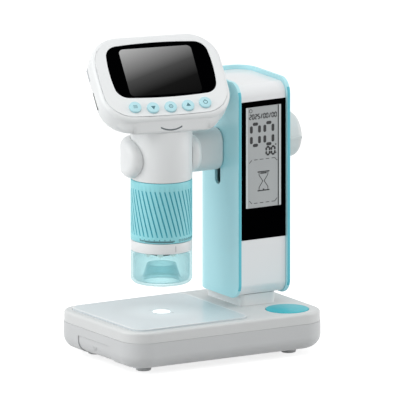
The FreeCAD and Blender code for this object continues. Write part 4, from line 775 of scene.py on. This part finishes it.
for number, node in zip(range(-2, 3), keyNames):
    up = -keyLook["down"] + keyLook["outer"] * (1 if abs(number) == 2 else abs(number) * keyLook["inner"])
    place = face @ moved(keyLook["along"] + number * keyLook["pitch"], up, 0)
    spun(node.replace("_key", "Key"), node, "cyanKey", place, keyProfile, keyLook["edge"], keyLook["steps"],
         keyLook["edgeAngle"], keyLook["edgeSteps"])
    bm = bmesh.new()
    top = place @ moved(0, 0, keyLook["rise"] + markLook["sunk"])
    if node == "menu_key":
        for level in markLook["lines"]:
            bar(bm, top, (-markLook["lineHalf"], level), (markLook["lineHalf"], level), markLook["lineWidth"],
                markLook["rise"])
    elif node in ("down_key", "up_key"):
        disc(bm, top, markLook["arrow"], markLook["rise"], 3, 0 if node == "up_key" else 180)
    elif node == "confirm_key":
        ringMark(bm, top, markLook["ring"], markLook["ringWidth"], markLook["rise"])
        disc(bm, top, markLook["dot"], markLook["rise"], markLook["dotSides"])
    else:
        ringMark(bm, top, markLook["powerRing"], markLook["powerWidth"], markLook["rise"])
        bar(bm, top, (0, markLook["powerLow"]), (0, markLook["powerHigh"]), markLook["powerLine"],
            markLook["powerRise"])
    finished(node.replace("_key", "KeyMark"), bm, "keyInk", node)
print("handheld unit done")

buttonLook = {"x": 52.7, "y": -31.5, "edge": 0.5, "edgeAngle": 60, "steps": 96, "profile": [
    (0, 21.1), (2.5, 21.1), (2.5, 24.9), (15.2, 24.9), (15.2, 26.1), (14, 26.1), (14, 29.2), (0, 29.2)]}
spun("baseButton", "base_button", "cyanButton", stand @ moved(buttonLook["x"], buttonLook["y"], 0),
     buttonLook["profile"], buttonLook["edge"], buttonLook["steps"], buttonLook["edgeAngle"])


# Studio

studio = {"floorDiffuse": 0.55, "lift": 0.78, "size": 6.0, "world": 0.5, "aimZ": 0.1,
          "lamps": [("left", (-0.97, 0.2, 0.5), 5.6, 0.9), ("right", (1.05, -0.55, 0.4), 4.4, 0.8),
                    ("top", (-0.15, -0.2, 1.3), 4.6, 1.2)]}


def seenShare(tree):
    # One for the rays that show the studio itself, and nought for those that only light the object.
    ray = addNode(tree, "ShaderNodeLightPath")
    direct = addNode(tree, "ShaderNodeMath", {0: ray.outputs["Is Camera Ray"], 1: ray.outputs["Is Glossy Ray"]},
                     operation="MAXIMUM")
    return addNode(tree, "ShaderNodeMath", {0: direct.outputs["Value"], 1: ray.outputs["Is Transmission Ray"]},
                   operation="MAXIMUM").outputs["Value"]


bm = bmesh.new()
bmesh.ops.create_grid(bm, x_segments=2, y_segments=2, size=studio["size"] / 2)
mesh = bpy.data.meshes.new("floor")
bm.to_mesh(mesh)
bm.free()
floor = bpy.data.objects.new("floor", mesh)
bpy.context.scene.collection.objects.link(floor)
material, tree, spot = startMaterial("paleSweep")
lift = addNode(tree, "ShaderNodeMath", {0: seenShare(tree), 1: studio["lift"]}, operation="MULTIPLY")
shader = addNode(tree, "ShaderNodeBsdfPrincipled", {
    "Base Color": [studio["floorDiffuse"]] * 3 + [1], "Roughness": 1.0, "Specular IOR Level": 0.0,
    "Emission Color": (1, 1, 1, 1), "Emission Strength": lift.outputs["Value"]})
finishMaterial(tree, shader.outputs["BSDF"])
floor.data.materials.append(material)

world = bpy.data.worlds.new("studio")
bpy.context.scene.world = world
world.use_nodes = True
tree = world.node_tree
tree.nodes.clear()
strength = addNode(tree, "ShaderNodeMapRange", {"Value": seenShare(tree), "To Min": studio["world"], "To Max": 1.0})
sky = addNode(tree, "ShaderNodeBackground", {"Color": (1, 1, 1, 1), "Strength": strength.outputs["Result"]})
addNode(tree, "ShaderNodeOutputWorld", {"Surface": sky.outputs["Background"]})

aim = Vector((0, 0, studio["aimZ"]))
for name, spotAt, power, width in studio["lamps"]:
    data = bpy.data.lights.new(name + "Softbox", "AREA")
    data.shape = "SQUARE"
    data.size = width
    data.energy = power
    lamp = bpy.data.objects.new(name + "Softbox", data)
    lamp.location = spotAt
    lamp.rotation_euler = (aim - Vector(spotAt)).to_track_quat("-Z", "Y").to_euler()
    bpy.context.scene.collection.objects.link(lamp)

shot = {"azimuth": 30.93, "elevation": 12.13, "scale": 258.06, "right": 5.12, "up": 98.4, "distance": 1200,
        "clipEnd": 20}
turn, lift = math.radians(shot["azimuth"]), math.radians(shot["elevation"])
forward = Vector((math.sin(turn) * math.cos(lift), math.cos(turn) * math.cos(lift), -math.sin(lift)))
right = Vector((math.cos(turn), -math.sin(turn), 0))
up = right.cross(forward)
data = bpy.data.cameras.new("shot")
data.type = "ORTHO"
data.ortho_scale = shot["scale"] * mm
data.clip_end = shot["clipEnd"]
camera = bpy.data.objects.new("shot", data)
camera.location = Vector((site["standX"] * mm, 0, 0)) + (right * shot["right"] + up * shot["up"]
                                                         - forward * shot["distance"]) * mm
camera.rotation_euler = forward.to_track_quat("-Z", "Y").to_euler()
bpy.context.scene.collection.objects.link(camera)
bpy.context.scene.camera = camera
bpy.context.scene.view_settings.view_transform = "Standard"
print("studio done")
